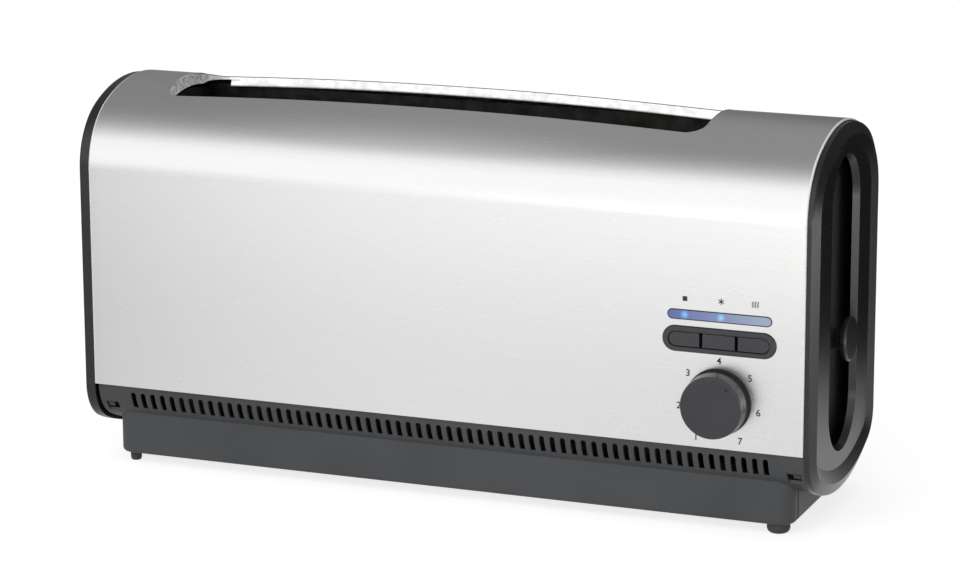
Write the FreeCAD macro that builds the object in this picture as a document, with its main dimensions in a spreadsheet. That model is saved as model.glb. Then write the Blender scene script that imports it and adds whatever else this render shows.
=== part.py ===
"""Long slot toaster: an arched steel wrap between two moulded end caps, on a vented base.

Lengths are millimetres. The toaster stands on its feet at z = 0, its front faces -Y and its lever is
on the +X end. Sizes are written from the middle plane of the shell; middle_x and middle_y place that
plane so that the origin is under the middle of the whole toaster. The lever is down, as in use.
"""
import FreeCAD, Part
import Sketcher
import math
import os
import re

DIMENSIONS = {
    # where the middle of the shell stands from the origin
    "middle_x": -0.25, "middle_y": 6.35,
    # arched steel shell
    "shell_length": 369.6, "half_depth": 56, "top_height": 192, "top_corner": 35.5,
    "spring_line": 151.7, "shell_bottom": 42.7, "shell_sheet": 0.8, "crown_rise": 5.4, "crown_share": 0.8,
    # bread slot and its liner
    "slot_left": -156.8, "slot_right": 124.7, "slot_half": 29.1, "slot_corner": 9.5,
    "liner_depth": 5.6, "liner_sheet": 0.6, "liner_lip": 2.2, "liner_gap": 0.05,
    "notch_right": -146, "notch_front": 14.3, "notch_low": 2.3,
    # end caps
    "oval_bottom": 12.5, "bottom_corner": 22.5, "bottom_radius": 101, "cap_start": 185.1,
    "left_crest": 191.2, "left_rim": 3.6, "right_crest": 189.6, "right_rim": 6.9, "rim_slope": 0.4,
    "cap_inset": 1.15, "cap_round": 0.9, "cap_wall": 1.8, "cap_set_back": 2, "recess_inset": 13.1,
    "collar_depth": 3.4, "window_flare": 1.3,
    "flange_start": 178.6, "flange_inset": 1, "flange_sheet": 2.4, "flange_clear": 0.7, "root_depth": 2,
    "tongue_inset": 4.2, "tongue_sheet": 1.8, "tongue_back": 1.1, "tongue_clear": 0.1,
    "hook_inset": 2.6, "hook_spare": 0.6, "hook_rise": 0.9,
    "lever_window_half": 23.5, "lever_window_low": 31.8, "lever_window_high": 176.4,
    # base
    "base_left": -183.4, "base_right": 184.8, "band_inset": 1.8, "band_wall": 1.2, "base_wall": 2.2,
    "plinth_half_x": 177.4, "plinth_half_y": 47.3, "plinth_low": 5.3, "plinth_high": 29,
    "plinth_corner": 8, "plinth_round": 2, "vent_count": 63, "vent_pitch": 5.33,
    "vent_middle": 0.85, "vent_width": 2.7, "vent_low": 30.7, "vent_high": 39.3,
    "rim_half_x": 176, "rim_inset": 1, "rim_sheet": 1.8, "rim_height": 4.3,
    "groove_radius": 1.6, "groove_out": 0.9, "groove_y": 36.6, "socket_gap": 0.05,
    "boss_left": 135, "boss_right": 171, "boss_y": 32, "boss_radius": 3,
    "catch_left": -177.3, "catch_right": 179.4, "catch_width": 6.8, "catch_low": 27, "catch_high": 33,
    "foot_x": 168.8, "peg_x": 171, "foot_y": 39.3, "rubber_foot": 5.6, "rubber_tip": 5.6, "rubber_round": 2.6,
    "peg_foot": 3.1, "peg_tip": 2.6, "peg_round": 1, "foot_spigot": 2,
    "gland_x": 150, "gland_z": 18, "gland_bore": 3.6, "gland_body": 5, "gland_start": 41,
    "gland_head": 7.4, "gland_mouth": 5.6, "gland_shoulder": 49.4, "gland_end": 50.2,
    # crumb tray
    "tray_left": -150, "tray_right": 120, "tray_front": -42, "tray_rear": 45.2, "tray_high": 14.5,
    "tray_sheet": 0.7, "tray_gap": 0.15, "tray_door_rise": 2.5, "grip_spare": 0.6, "grip_rise": 2.1,
    "grip_face": 48.5, "grip_end": 53, "grip_left": -75, "grip_right": 45, "grip_lip": 2.4,
    # toasting chamber
    "end_plate_left": -157.6, "end_plate_right": 127, "end_plate_sheet": 0.6, "end_plate_half": 38,
    "end_plate_inset": 7.2, "rack_slot_half": 2, "rack_slot_below": 12, "rack_slot_above": 3,
    "reflector_y": 30.2, "reflector_sheet": 0.6, "reflector_low": 20, "reflector_high": 183,
    "mica_y": 28.3, "mica_sheet": 0.5, "mica_low": 32, "mica_high": 168,
    "ribbon_sheet": 0.4, "ribbon_width": 1.6, "ribbon_step": 22, "ribbon_runs": 6,
    "ribbon_low": 44, "ribbon_left": -145, "ribbon_right": 115,
    "cage_foot_y": 21, "cage_foot_z": 24, "cage_top_y": 13, "cage_top_z": 165, "rail_radius": 1,
    "cage_wire": 0.8, "cage_wires": 19, "cage_left": -147, "cage_right": 117,
    "rail_start": -159, "rail_end": 129, "rail_share": 0.55, "pivot_gap": 0.08,
    # lift
    "lever_travel": 72, "lever_z": 86.8, "knob_radius": 10.8, "knob_face": 191.7, "knob_thick": 2.8,
    "knob_start": 184, "knob_stem": 5.4, "knob_round": 1.2, "arm_half_y": 1.2, "arm_half_z": 5,
    "rod_x": 158, "rod_y": 18, "rod_radius": 2.5, "rod_top": 174, "bush_gap": 0.06,
    "bracket_end": 175, "bracket_half": 26, "bracket_sheet": 1.2, "bracket_low": 150,
    "carriage_low": 40, "carriage_high": 100, "carriage_half_x": 8, "carriage_half_y": 24,
    "hollow_side": 5, "hollow_half": 12, "hollow_low": 6, "hollow_high": 36,
    "rack_z": 36, "rack_wires": 19, "rack_left": -161, "rack_half": 0.6, "rack_deep": 8, "rack_reach": 8,
    "rack_wire": 0.9, "rack_first": -144, "rack_pitch": 14, "riser_drop": 5,
    "spring_x": 170.5, "spring_y": -14, "spring_radius": 3.1, "spring_wire": 0.8,
    "spring_hook": 2.5, "spring_hook_half": 2, "spring_hook_low": 2, "spring_foot": 6,
    "armature_half": 9, "armature_sheet": 2, "bridge_half": 30, "bridge_low": 10, "bridge_high": 14,
    "guide_plate_start": 176, "guide_plate_end": 178, "guide_plate_inset": 4.8, "slit_half": 3.5,
    "slit_spare": 10,
    # control panel
    "panel_x": 143.5, "bezel_z": 94.5, "bezel_length": 55.2, "bezel_height": 11.9,
    "bezel_proud": 1.3, "bezel_rim": 1.3, "bezel_round": 0.5, "sleeve_end": 50.2, "sleeve_gap": 0.1,
    "keys_length": 49.8, "keys_height": 7.6, "key_gap": 0.35, "key_split": 0.75,
    "key_split_left": -8.8, "key_split_right": 8.5, "key_face": 57, "key_inside": 0.2, "key_flange": 0.7,
    "key_round": 0.3,
    "window_z": 106.2, "window_length": 50.3, "window_height": 4.1, "lamp_pitch": 17.2,
    "dial_z": 65.6, "dial_back": 16.1, "dial_front": 14.9, "dial_face_y": -68.7, "shaft_radius": 3,
    "shaft_hole": 4.5,
    "dial_round": 0.7, "pointer_angle": 39.5, "pointer_reach": 12.2, "pointer_radius": 0.8,
    "pointer_depth": 0.6, "dial_gap": 1.4, "dial_bore": 5, "shaft_fit": 0.02, "collar_thick": 1,
    "frame_half": 30, "frame_low": 50, "frame_high": 114, "frame_wall": 2, "frame_gap": 0.05,
    "timer_radius": 8.5, "timer_deep": 7, "timer_bore": 5, "timer_spare": 0.5,
    "switch_half": 3, "switch_deep": 3.2, "pin_reach": 4.2, "pin_radius": 1.6, "lamp_radius": 1.5,
    "lamp_front": 52.6, "strip_back": 53.2, "strip_proud": 0.25, "strip_gap": 0.1,
    "screw_radius": 1.9, "screw_head": 1.4,
    # circuit boards
    "board_front": 43, "board_thick": 1.6, "power_z": 14, "power_left": 131, "power_right": 174,
    "power_half": 38, "core_radius": 3, "core_gap": 2.3, "coil_radius": 8, "coil_gap": 5, "coil_bore": 3.1,
    "leaf_gap": 0.3, "leaf_sheet": 0.6, "leaf_width": 4.5, "leaf_rise": 16,
}

doc = FreeCAD.newDocument("LongSlotToaster")
sheet = doc.addObject("Spreadsheet::Sheet", "Dimensions")
for row, (word, size) in enumerate(DIMENSIONS.items(), start=1):
    sheet.set(f"A{row}", word)
    sheet.set(f"B{row}", str(size))
    sheet.setAlias(f"B{row}", word)
doc.recompute()

SCRATCH_CELL = "D1"
FAR = 400
ACROSS, ALONG, UPWARD = FreeCAD.Vector(0, 1, 0), FreeCAD.Vector(1, 0, 0), FreeCAD.Vector(0, 0, 1)
pieces = []


def dim(word):
    """Number held by the sheet under a word."""
    return float(sheet.get(word))


def number(formula):
    """Value of a formula written in the sheet's words."""
    sheet.set(SCRATCH_CELL, f"={formula}")
    sheet.recompute()
    return float(sheet.get(SCRATCH_CELL))


def link(formula):
    """The same formula as an expression that reads the sheet from any object."""
    def place(word):
        return f"Dimensions.{word.group()}" if word.group() in DIMENSIONS else word.group()
    return re.sub(r"[a-z][a-z_]+", place, str(formula))


def keep(piece, label):
    """Name a finished piece; its label is the name of its file."""
    piece.Label = label
    pieces.append(piece)


# Primitives between formulas


def block(name, x, y, z):
    """Box between pairs of formulas along X, Y and Z."""
    box = doc.addObject("Part::Box", name)
    sides = (("Length", "x", x, "middle_x + "), ("Width", "y", y, "middle_y + "), ("Height", "z", z, ""))
    for side, axis, (low, high), start in sides:
        box.setExpression(side, link(f"({high}) - ({low})"))
        box.setExpression(f"Placement.Base.{axis}", link(f"{start}({low})"))
    return box


def post(name, x, y, low, high, radius):
    """Upright cylinder."""
    rod = doc.addObject("Part::Cylinder", name)
    rod.setExpression("Radius", link(radius))
    rod.setExpression("Height", link(f"({high}) - ({low})"))
    rod.setExpression("Placement.Base.x", link(f"middle_x + ({x})"))
    rod.setExpression("Placement.Base.y", link(f"middle_y + ({y})"))
    rod.setExpression("Placement.Base.z", link(low))
    return rod


def spindle(name, x, z, front, back, radius):
    """Cylinder that lies along Y between two formulas."""
    rod = doc.addObject("Part::Cylinder", name)
    rod.setExpression("Radius", link(radius))
    rod.setExpression("Height", link(f"({back}) - ({front})"))
    rod.Placement.Rotation = FreeCAD.Rotation(ALONG, -90)
    rod.setExpression("Placement.Base.x", link(f"middle_x + ({x})"))
    rod.setExpression("Placement.Base.y", link(f"middle_y + ({front})"))
    rod.setExpression("Placement.Base.z", link(z))
    return rod


def cut(name, base, tool):
    """First object without the second."""
    result = doc.addObject("Part::Cut", name)
    result.Base = base
    result.Tool = tool
    return result


def fuse(name, *parts):
    """One solid from touching objects."""
    result = doc.addObject("Part::MultiFuse", name)
    result.Shapes = list(parts)
    return result


def group(name, *parts):
    """Several separate solids in one sub-part."""
    result = doc.addObject("Part::Compound", name)
    result.Links = list(parts)
    return result


def formed(label, shape):
    """Sub-part whose shape comes from arches, lofts or wires worked out here from the sheet."""
    feature = doc.addObject("Part::Feature", label)
    feature.Shape = shape
    feature.Placement.Base = FreeCAD.Vector(dim("middle_x"), dim("middle_y"), 0)
    keep(feature, label)


# Sketched bodies


def new_body(name):
    """Body that stands at the middle of the shell."""
    body = doc.addObject("PartDesign::Body", name)
    body.setExpression("Placement.Base.x", link("middle_x"))
    body.setExpression("Placement.Base.y", link("middle_y"))
    return body


def new_sketch(body, name, plane, right="0", up="0", out="0"):
    """Sketch on one of the body's own planes, moved right, up and out along the plane's own axes."""
    sketch = body.newObject("Sketcher::SketchObject", name)
    support = [part for part in body.Origin.OriginFeatures if part.Role == plane][0]
    sketch.AttachmentSupport = (support, [""])
    sketch.MapMode = "FlatFace"
    for axis, formula in (("x", right), ("y", up), ("z", out)):
        sketch.setExpression(f"AttachmentOffset.Base.{axis}", link(formula))
    return sketch


def bind(sketch, kind, places, formula):
    """Driving size in a sketch, read from the sheet."""
    index = sketch.addConstraint(Sketcher.Constraint(kind, *places, number(formula)))
    sketch.setExpression(f"Constraints[{index}]", link(formula))


def draw_loop(sketch, corners):
    """Closed outline through corners given as pairs of formulas."""
    spots = [FreeCAD.Vector(number(right), number(up), 0) for right, up in corners]
    for index, spot in enumerate(spots):
        sketch.addGeometry(Part.LineSegment(spot, spots[(index + 1) % len(spots)]), False)
    for index in range(len(spots)):
        following = (index + 1) % len(spots)
        sketch.addConstraint(Sketcher.Constraint("Coincident", index, 2, following, 1))
    for index, (right, up) in enumerate(corners):
        bind(sketch, "DistanceX", (-1, 1, index, 1), right)
        bind(sketch, "DistanceY", (-1, 1, index, 1), up)


def draw_rectangle(sketch, left, right, low, high):
    """Rectangle between four formulas."""
    draw_loop(sketch, [(left, low), (right, low), (right, high), (left, high)])


def draw_circle(sketch, right, up, radius):
    """Circle about a point."""
    index = sketch.GeometryCount
    centre = FreeCAD.Vector(number(right), number(up), 0)
    sketch.addGeometry(Part.Circle(centre, UPWARD, number(radius)), False)
    bind(sketch, "DistanceX", (-1, 1, index, 3), right)
    bind(sketch, "DistanceY", (-1, 1, index, 3), up)
    bind(sketch, "Radius", (index,), radius)


def draw_stadium(sketch, middle, up, length, height):
    """Outline with round ends, about a middle point."""
    reach, size = number(f"({length} - ({height})) / 2"), number(f"({height}) / 2")
    x, z = number(middle), number(up)
    left, right = x - reach, x + reach
    quarter = math.pi / 2
    right_circle = Part.Circle(FreeCAD.Vector(right, z, 0), UPWARD, size)
    left_circle = Part.Circle(FreeCAD.Vector(left, z, 0), UPWARD, size)
    lower = Part.LineSegment(FreeCAD.Vector(left, z - size, 0), FreeCAD.Vector(right, z - size, 0))
    upper = Part.LineSegment(FreeCAD.Vector(right, z + size, 0), FreeCAD.Vector(left, z + size, 0))
    sketch.addGeometry(lower, False)
    sketch.addGeometry(Part.ArcOfCircle(right_circle, -quarter, quarter), False)
    sketch.addGeometry(upper, False)
    sketch.addGeometry(Part.ArcOfCircle(left_circle, quarter, 3 * quarter), False)
    for one, other in ((0, 1), (1, 2), (2, 3), (3, 0)):
        sketch.addConstraint(Sketcher.Constraint("Tangent", one, 2, other, 1))
    sketch.addConstraint(Sketcher.Constraint("Horizontal", 0))
    sketch.addConstraint(Sketcher.Constraint("Horizontal", 2))
    bind(sketch, "DistanceX", (-1, 1, 3, 3), f"{middle} - (({length}) - ({height})) / 2")
    bind(sketch, "DistanceX", (-1, 1, 1, 3), f"{middle} + (({length}) - ({height})) / 2")
    bind(sketch, "DistanceY", (-1, 1, 3, 3), up)
    bind(sketch, "Radius", (1,), f"({height}) / 2")


def pad(body, sketch, length):
    """Raise a sketch along its own outward direction."""
    feature = body.newObject("PartDesign::Pad", f"{sketch.Name}_pad")
    feature.Profile = sketch
    feature.setExpression("Length", link(length))
    doc.recompute()


def pocket(body, sketch, length):
    """Cut a sketch into the body, and make sure that something was cut."""
    before = body.Shape.Volume
    feature = body.newObject("PartDesign::Pocket", f"{sketch.Name}_pocket")
    feature.Profile = sketch
    feature.setExpression("Length", link(length))
    doc.recompute()
    if body.Shape.Volume > before - 0.01:
        raise RuntimeError(f"{feature.Name} cuts nothing")


def turn(body, sketch, axis):
    """Full turn of a profile about one of its sketch's axes."""
    feature = body.newObject("PartDesign::Revolution", f"{sketch.Name}_turn")
    feature.Profile = sketch
    feature.ReferenceAxis = (sketch, [axis])
    feature.Angle = 360
    doc.recompute()


def soften(body, radius, wanted):
    """Round the edges of the latest feature that a test picks."""
    tip = body.Tip
    names = [f"Edge{index}" for index, edge in enumerate(tip.Shape.Edges, start=1) if wanted(edge)]
    feature = body.newObject("PartDesign::Fillet", f"{tip.Name}_round")
    feature.Base = (tip, names)
    feature.setExpression("Radius", link(radius))
    doc.recompute()


def lies_at(axis, place):
    """Test for an edge that lies in one plane across an axis of the body."""
    def test(edge):
        box = edge.BoundBox
        low, high = getattr(box, f"{axis}Min"), getattr(box, f"{axis}Max")
        return abs(low - place) < 0.01 and abs(high - place) < 0.01
    return test


# Outlines across the toaster, in the YZ plane


def vector(x, y, z):
    return FreeCAD.Vector(x, y, z)


def join_of_arcs(side, spring, centre, corner):
    """Where a corner arc about (side, spring) meets the wide arc about (0, centre)."""
    reach = math.hypot(side, spring - centre)
    return side + corner * side / reach, spring + corner * (spring - centre) / reach


def arched_edges(x, hand, half, side, spring, corner, centre, crest):
    """Three tangent arcs from one upright side over to the other; they start at the side that hand names."""
    join_y, join_z = join_of_arcs(side, spring, centre, corner)
    bend = math.atan2(join_z - spring, join_y - side) / 2
    bend_y, bend_z = side + corner * math.cos(bend), spring + corner * math.sin(bend)
    spots = [vector(x, hand * y, z) for y, z in (
        (half, spring), (bend_y, bend_z), (join_y, join_z), (0, crest), (-join_y, join_z), (-bend_y, bend_z),
        (-half, spring))]
    return [Part.Arc(*spots[first:first + 3]).toShape() for first in (0, 2, 4)]


def top_edges(x, top, inset):
    """Arched top; its wide arc meets the corner arcs and reaches a given height."""
    side, spring, corner = dim("half_depth") - dim("top_corner"), dim("spring_line"), dim("top_corner")
    rise = top - spring
    wide = (side**2 + rise**2 - corner**2) / (2 * (rise - corner))
    centre, crest = top - wide, top - inset
    return arched_edges(x, 1, dim("half_depth") - inset, side, spring, corner - inset, centre, crest)


def arch_wire(x, top, inset, low):
    """Upright sides under the arched top, closed along the bottom."""
    half, spring = dim("half_depth") - inset, dim("spring_line")
    left_side = Part.makeLine(vector(x, half, low), vector(x, half, spring))
    right_side = Part.makeLine(vector(x, -half, spring), vector(x, -half, low))
    bottom = Part.makeLine(vector(x, -half, low), vector(x, half, low))
    return Part.Wire([left_side] + top_edges(x, top, inset) + [right_side, bottom])


def oval_wire(x, inset, drop=0):
    """Outline of an end cap: the arch above, and a flatter arch turned over below, lower by the drop."""
    half, wide = dim("half_depth") - inset, dim("bottom_radius")
    side = dim("half_depth") - dim("bottom_corner")
    centre = dim("oval_bottom") - drop + wide
    spring = centre - math.sqrt((wide - dim("bottom_corner"))**2 - side**2)
    corner = dim("bottom_corner") - inset
    lower = arched_edges(x, -1, half, side, spring, corner, centre, centre - wide + inset)
    near = Part.makeLine(vector(x, half, spring), vector(x, half, dim("spring_line")))
    far = Part.makeLine(vector(x, -half, dim("spring_line")), vector(x, -half, spring))
    return Part.Wire([near] + top_edges(x, dim("top_height"), inset) + [far] + lower)


def oval_solid(start, end, inset, drop=0):
    """Oval outline drawn out along X."""
    return Part.Face(oval_wire(start, inset, drop)).extrude(vector(end - start, 0, 0))


def ring(start, end, outer, inner):
    """Band that follows the oval between two insets."""
    return oval_solid(start, end, outer).cut(oval_solid(start - 1, end + 1, inner))


def solid_box(x, y, z):
    """Plain box between pairs of numbers."""
    return Part.makeBox(x[1] - x[0], y[1] - y[0], z[1] - z[0], vector(x[0], y[0], z[0]))


def rounded_prism(x, y, z, radius):
    """Upright prism with rounded corners."""
    box = solid_box(x, y, z)
    upright = [edge for edge in box.Edges if abs(edge.tangentAt(edge.FirstParameter).z) > 0.99]
    return box.makeFillet(radius, upright)


def stadium_bar(x, z, length, height, y):
    """Bar with round ends, for openings in the front wall."""
    radius, reach = height / 2, (length - height) / 2
    bar = solid_box((x - reach, x + reach), y, (z - radius, z + radius))
    ends = [Part.makeCylinder(radius, y[1] - y[0], vector(x + side * reach, y[0], z), ACROSS)
            for side in (-1, 1)]
    return bar.fuse(ends)


# Steel shell and slot liner


def arch_loft(inset, low, drop=0):
    """Body of the arch; its top swells a little over the middle of the slot."""
    end, left, right = dim("shell_length") / 2, dim("slot_left"), dim("slot_right")
    middle, quarter = (left + right) / 2, (right - left) / 4
    share = dim("crown_share")
    stations = ((-end, 0), ((left - end) / 2, 0), (left, 0), (middle - quarter, share), (middle, 1),
                (middle + quarter, share), (right, 0), ((right + end) / 2, 0), (end, 0))
    wires = []
    for x, share in stations:
        wire = arch_wire(x, dim("top_height") + share * dim("crown_rise"), inset, low)
        wire.translate(vector(0, 0, -drop))
        wires.append(wire)
    return Part.makeLoft(wires, True, False)


def slot_prism(inset):
    """Upright prism with the plan of the bread slot."""
    x = dim("slot_left") + inset, dim("slot_right") - inset
    y = inset - dim("slot_half"), dim("slot_half") - inset
    return rounded_prism(x, y, (120, 260), dim("slot_corner") - inset)


def build_shell():
    """Arched sheet with the bread slot above and the control openings in front."""
    outer, inner = arch_loft(0, dim("shell_bottom")), arch_loft(dim("shell_sheet"), dim("shell_bottom") - 5)
    front = -dim("half_depth") - 2, -dim("half_depth") + 4
    rim = 2 * (dim("bezel_rim") - dim("sleeve_gap"))
    x = dim("panel_x")
    bezel = stadium_bar(x, dim("bezel_z"), dim("bezel_length") - rim, dim("bezel_height") - rim, front)
    window = stadium_bar(x, dim("window_z"), dim("window_length"), dim("window_height"), front)
    shaft_hole = Part.makeCylinder(dim("shaft_hole"), 6, vector(x, front[0], dim("dial_z")), ACROSS)
    formed("steel_shell", outer.cut([inner, slot_prism(0), bezel, window, shaft_hole]))


def build_liner():
    """Bright flange inside the slot's edge, with a lip below and a notch at its rear left corner."""
    gap, thick, depth = dim("liner_gap"), dim("liner_sheet"), dim("liner_depth")
    top = arch_loft(0, 100)
    shelf, bottom = arch_loft(0, 90, depth - thick), arch_loft(0, 90, depth)
    wall = slot_prism(gap).cut(slot_prism(gap + thick)).common(top).cut(bottom)
    lip = slot_prism(gap).cut(slot_prism(gap + dim("liner_lip"))).common(shelf).cut(bottom)
    notch = solid_box((-FAR, dim("notch_right")), (dim("notch_front"), FAR), (0, FAR))
    notch = notch.common(arch_loft(0, 90, dim("notch_low")))
    formed("slot_liner", wall.fuse(lip).removeSplitter().cut(notch))


# End caps


def cap_shell(crest, rim):
    """Moulded end: outer wall, a rim that slopes up to its crest, and a face set back inside the rim."""
    start, inset, wall = dim("cap_start"), dim("cap_inset"), dim("cap_wall")
    face, shoulder = crest - dim("cap_set_back"), crest - dim("rim_slope") * (rim - inset)
    slope = Part.makeLoft([oval_wire(shoulder, inset, inset), oval_wire(crest, rim, inset)], True, True)
    cap = oval_solid(start, shoulder, inset, inset).fuse(slope).removeSplitter()
    cap = cap.makeFillet(dim("cap_round"), [edge for edge in cap.Edges if lies_at("X", shoulder)(edge)])
    recess_wires = [oval_wire(face, dim("recess_inset"), inset), oval_wire(crest, rim, inset)]
    recess = Part.makeLoft(recess_wires, True, True)
    hollow = oval_solid(start - 1, face - wall, inset + wall, inset)
    return cap.cut([recess, hollow])


def catch_tongue(side, x):
    """Springy tongue with a hook that shows in the base's catch hole."""
    y = (-60, -40) if side < 0 else (40, 60)
    outer, inner = dim("tongue_inset"), dim("tongue_inset") + dim("tongue_sheet")
    start, root = x - dim("tongue_back"), dim("cap_start") + dim("root_depth")
    low, high, spare = dim("plinth_high") + dim("tongue_clear"), dim("catch_high"), dim("hook_spare")
    tongue = ring(start, root, outer, inner).common(solid_box((start, root), y, (low, high)))
    hook_x = start + spare, x + dim("catch_width") / 2 - spare
    hook = ring(*hook_x, dim("hook_inset"), (outer + inner) / 2)
    hook = hook.common(solid_box(hook_x, y, (low + dim("hook_rise"), high - spare)))
    return [tongue, hook]


def cap_with_grips(crest, rim, catch_x):
    """Cap with the arched flange that carries the shell, and its two catch tongues."""
    start, outer, wall = dim("cap_start"), dim("flange_inset"), dim("cap_wall")
    flange = ring(dim("flange_start"), start, outer, outer + dim("flange_sheet"))
    flange = flange.common(solid_box((0, FAR), (-FAR, FAR), (dim("shell_bottom") + dim("flange_clear"), FAR)))
    root_inside = dim("tongue_inset") + dim("tongue_sheet")
    root = ring(start, start + dim("root_depth"), dim("cap_inset") + wall / 2, root_inside)
    tongues = catch_tongue(-1, catch_x) + catch_tongue(1, catch_x)
    return cap_shell(crest, rim).fuse([flange, root] + tongues).removeSplitter()


def window_wire(x, inset):
    """Outline of the lever's window, tall with round ends."""
    half = dim("lever_window_half") - inset
    low = dim("lever_window_low") + dim("lever_window_half")
    high = dim("lever_window_high") - dim("lever_window_half")
    above = Part.Arc(vector(x, -half, high), vector(x, 0, high + half), vector(x, half, high))
    below = Part.Arc(vector(x, half, low), vector(x, 0, low - half), vector(x, -half, low))
    near = Part.makeLine(vector(x, -half, low), vector(x, -half, high))
    far = Part.makeLine(vector(x, half, high), vector(x, half, low))
    return Part.Wire([above.toShape(), far, below.toShape(), near])


def window_prism(start, end, inset):
    """Window's outline drawn out along X."""
    return Part.Face(window_wire(start, inset)).extrude(vector(end - start, 0, 0))


def build_caps():
    """Plain cap on the left; the right one has the lever's window, and a collar that flares round it."""
    left_cap = cap_with_grips(dim("left_crest"), dim("left_rim"), -dim("catch_left"))
    formed("end_cap_left", left_cap.mirror(vector(0, 0, 0), ALONG))
    face, wall, flare = dim("right_crest") - dim("cap_set_back"), dim("cap_wall"), dim("window_flare")
    inside = face - dim("collar_depth")
    collar = window_prism(inside, face - wall / 2, -wall)
    cap = cap_with_grips(dim("right_crest"), dim("right_rim"), dim("catch_right")).fuse(collar)
    funnel = Part.makeLoft([window_wire(inside, flare), window_wire(face, 0)], True, True)
    passage = window_prism(inside - wall, inside, flare)
    outside = window_prism(face, face + wall, 0)
    formed("end_cap_right", cap.cut([funnel, passage, outside]).removeSplitter())


# Base


def vent_row():
    """Upright slots with round tops, along the front and the rear of the base."""
    width, top = dim("vent_width"), dim("vent_high") - dim("vent_width") / 2
    slots = []
    for index in range(int(dim("vent_count"))):
        x = dim("vent_middle") + (index - (dim("vent_count") - 1) / 2) * dim("vent_pitch")
        for y in ((-60, -dim("plinth_half_y") - 0.05), (dim("plinth_half_y") + 0.05, 60)):
            slots.append(solid_box((x - width / 2, x + width / 2), y, (dim("vent_low"), top)))
            slots.append(Part.makeCylinder(width / 2, y[1] - y[0], vector(x, y[0], top), ACROSS))
    return slots


def catch_holes():
    """Four small holes that the caps' hooks snap into."""
    holes = []
    for x in (dim("catch_left"), dim("catch_right")):
        for y in ((-60, -dim("plinth_half_y") - 0.05), (dim("plinth_half_y") + 0.05, 60)):
            half = dim("catch_width") / 2
            holes.append(solid_box((x - half, x + half), y, (dim("catch_low"), dim("catch_high"))))
    return holes


def build_base():
    """Oval vented band that narrows into a flat plinth with rounded corners."""
    wall, inset, low = dim("base_wall"), dim("band_inset"), dim("plinth_low")
    half_x, half_y, seam = dim("plinth_half_x"), dim("plinth_half_y"), dim("shell_bottom")
    band = ring(dim("base_left"), dim("base_right"), inset, inset + dim("band_wall"))
    band = band.common(solid_box((-FAR, FAR), (-FAR, FAR), (0, seam)))
    rim_x, rim = dim("rim_half_x"), dim("rim_inset")
    rim = ring(-rim_x, rim_x, rim, rim + dim("rim_sheet"))
    rim = rim.common(solid_box((-FAR, FAR), (-FAR, FAR), (seam, seam + dim("rim_height"))))
    high, corner = dim("plinth_high"), dim("plinth_corner")
    plinth = rounded_prism((-half_x, half_x), (-half_y, half_y), (low, high), corner)
    underside = [edge for edge in plinth.Edges if lies_at("Z", low)(edge)]
    plinth = plinth.makeFillet(dim("plinth_round"), underside)
    inside = rounded_prism((wall - half_x, half_x - wall), (wall - half_y, half_y - wall),
                           (low + wall, 60), corner - wall)
    groove_x, groove_y = half_x + dim("groove_out"), dim("groove_y")
    grooves = [Part.makeCylinder(dim("groove_radius"), high - low, vector(x, y, low), UPWARD)
               for x in (-groove_x, groove_x) for y in (-groove_y, groove_y)]
    gap, rear = dim("socket_gap"), (half_y - 4, half_y + 4)
    tray = solid_box((dim("tray_left") - 1, dim("tray_right") + 1), rear,
                     (low + wall, dim("tray_high") + dim("tray_door_rise")))
    gland_spot = vector(dim("gland_x"), rear[0], dim("gland_z"))
    gland = Part.makeCylinder(dim("gland_body") + gap, 8, gland_spot, ACROSS)
    spigots = [Part.makeCylinder(dim("foot_spigot") + gap, 10, vector(x, y, low - 1), UPWARD)
               for x in (-dim("peg_x"), dim("foot_x")) for y in (-dim("foot_y"), dim("foot_y"))]
    bosses = [Part.makeCylinder(dim("boss_radius"), dim("power_z") - low, vector(x, y, low), UPWARD)
              for x in (dim("boss_left"), dim("boss_right")) for y in (-dim("boss_y"), dim("boss_y"))]
    base = band.fuse([plinth, rim]).cut([inside, tray, gland] + grooves + spigots)
    base = base.cut(vent_row() + catch_holes()).fuse(bosses)
    formed("base_housing", base.removeSplitter())


def build_foot(label, x, y, radius, tip, rounding):
    """Turned foot with a spigot that snaps into the plinth."""
    body = new_body(label)
    profile = new_sketch(body, f"{label}_profile", "XZ_Plane", right=x, out=f"-({y})")
    top = "plinth_low + base_wall"
    draw_loop(profile, [("0", "0"), (tip, "0"), (radius, "plinth_low"), ("foot_spigot", "plinth_low"),
                        ("foot_spigot", top), ("0", top)])
    turn(body, profile, "V_Axis")
    soften(body, rounding, lies_at("Z", 0))
    keep(body, label)


def build_gland():
    """Cord gland in the rear wall; it stands empty."""
    body = new_body("cord_gland")
    profile = new_sketch(body, "gland_profile", "YZ_Plane", up="gland_z", out="gland_x")
    inner_face = "plinth_half_y - base_wall"
    draw_loop(profile, [
        ("gland_start", "gland_bore"), ("gland_end", "gland_bore"), ("gland_end", "gland_mouth"),
        ("gland_shoulder", "gland_head"), ("plinth_half_y", "gland_head"), ("plinth_half_y", "gland_body"),
        (inner_face, "gland_body"), (inner_face, "gland_body + 1"), ("gland_start", "gland_body + 1"),
    ])
    turn(body, profile, "H_Axis")
    keep(body, "cord_gland")


build_shell()
build_liner()
build_caps()
build_base()
for place, y_formula in (("front", "-foot_y"), ("rear", "foot_y")):
    build_foot(f"rubber_foot_{place}", "foot_x", y_formula, "rubber_foot", "rubber_tip", "rubber_round")
    build_foot(f"peg_foot_{place}", "-peg_x", y_formula, "peg_foot", "peg_tip", "peg_round")
build_gland()


# Toasting chamber


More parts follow.
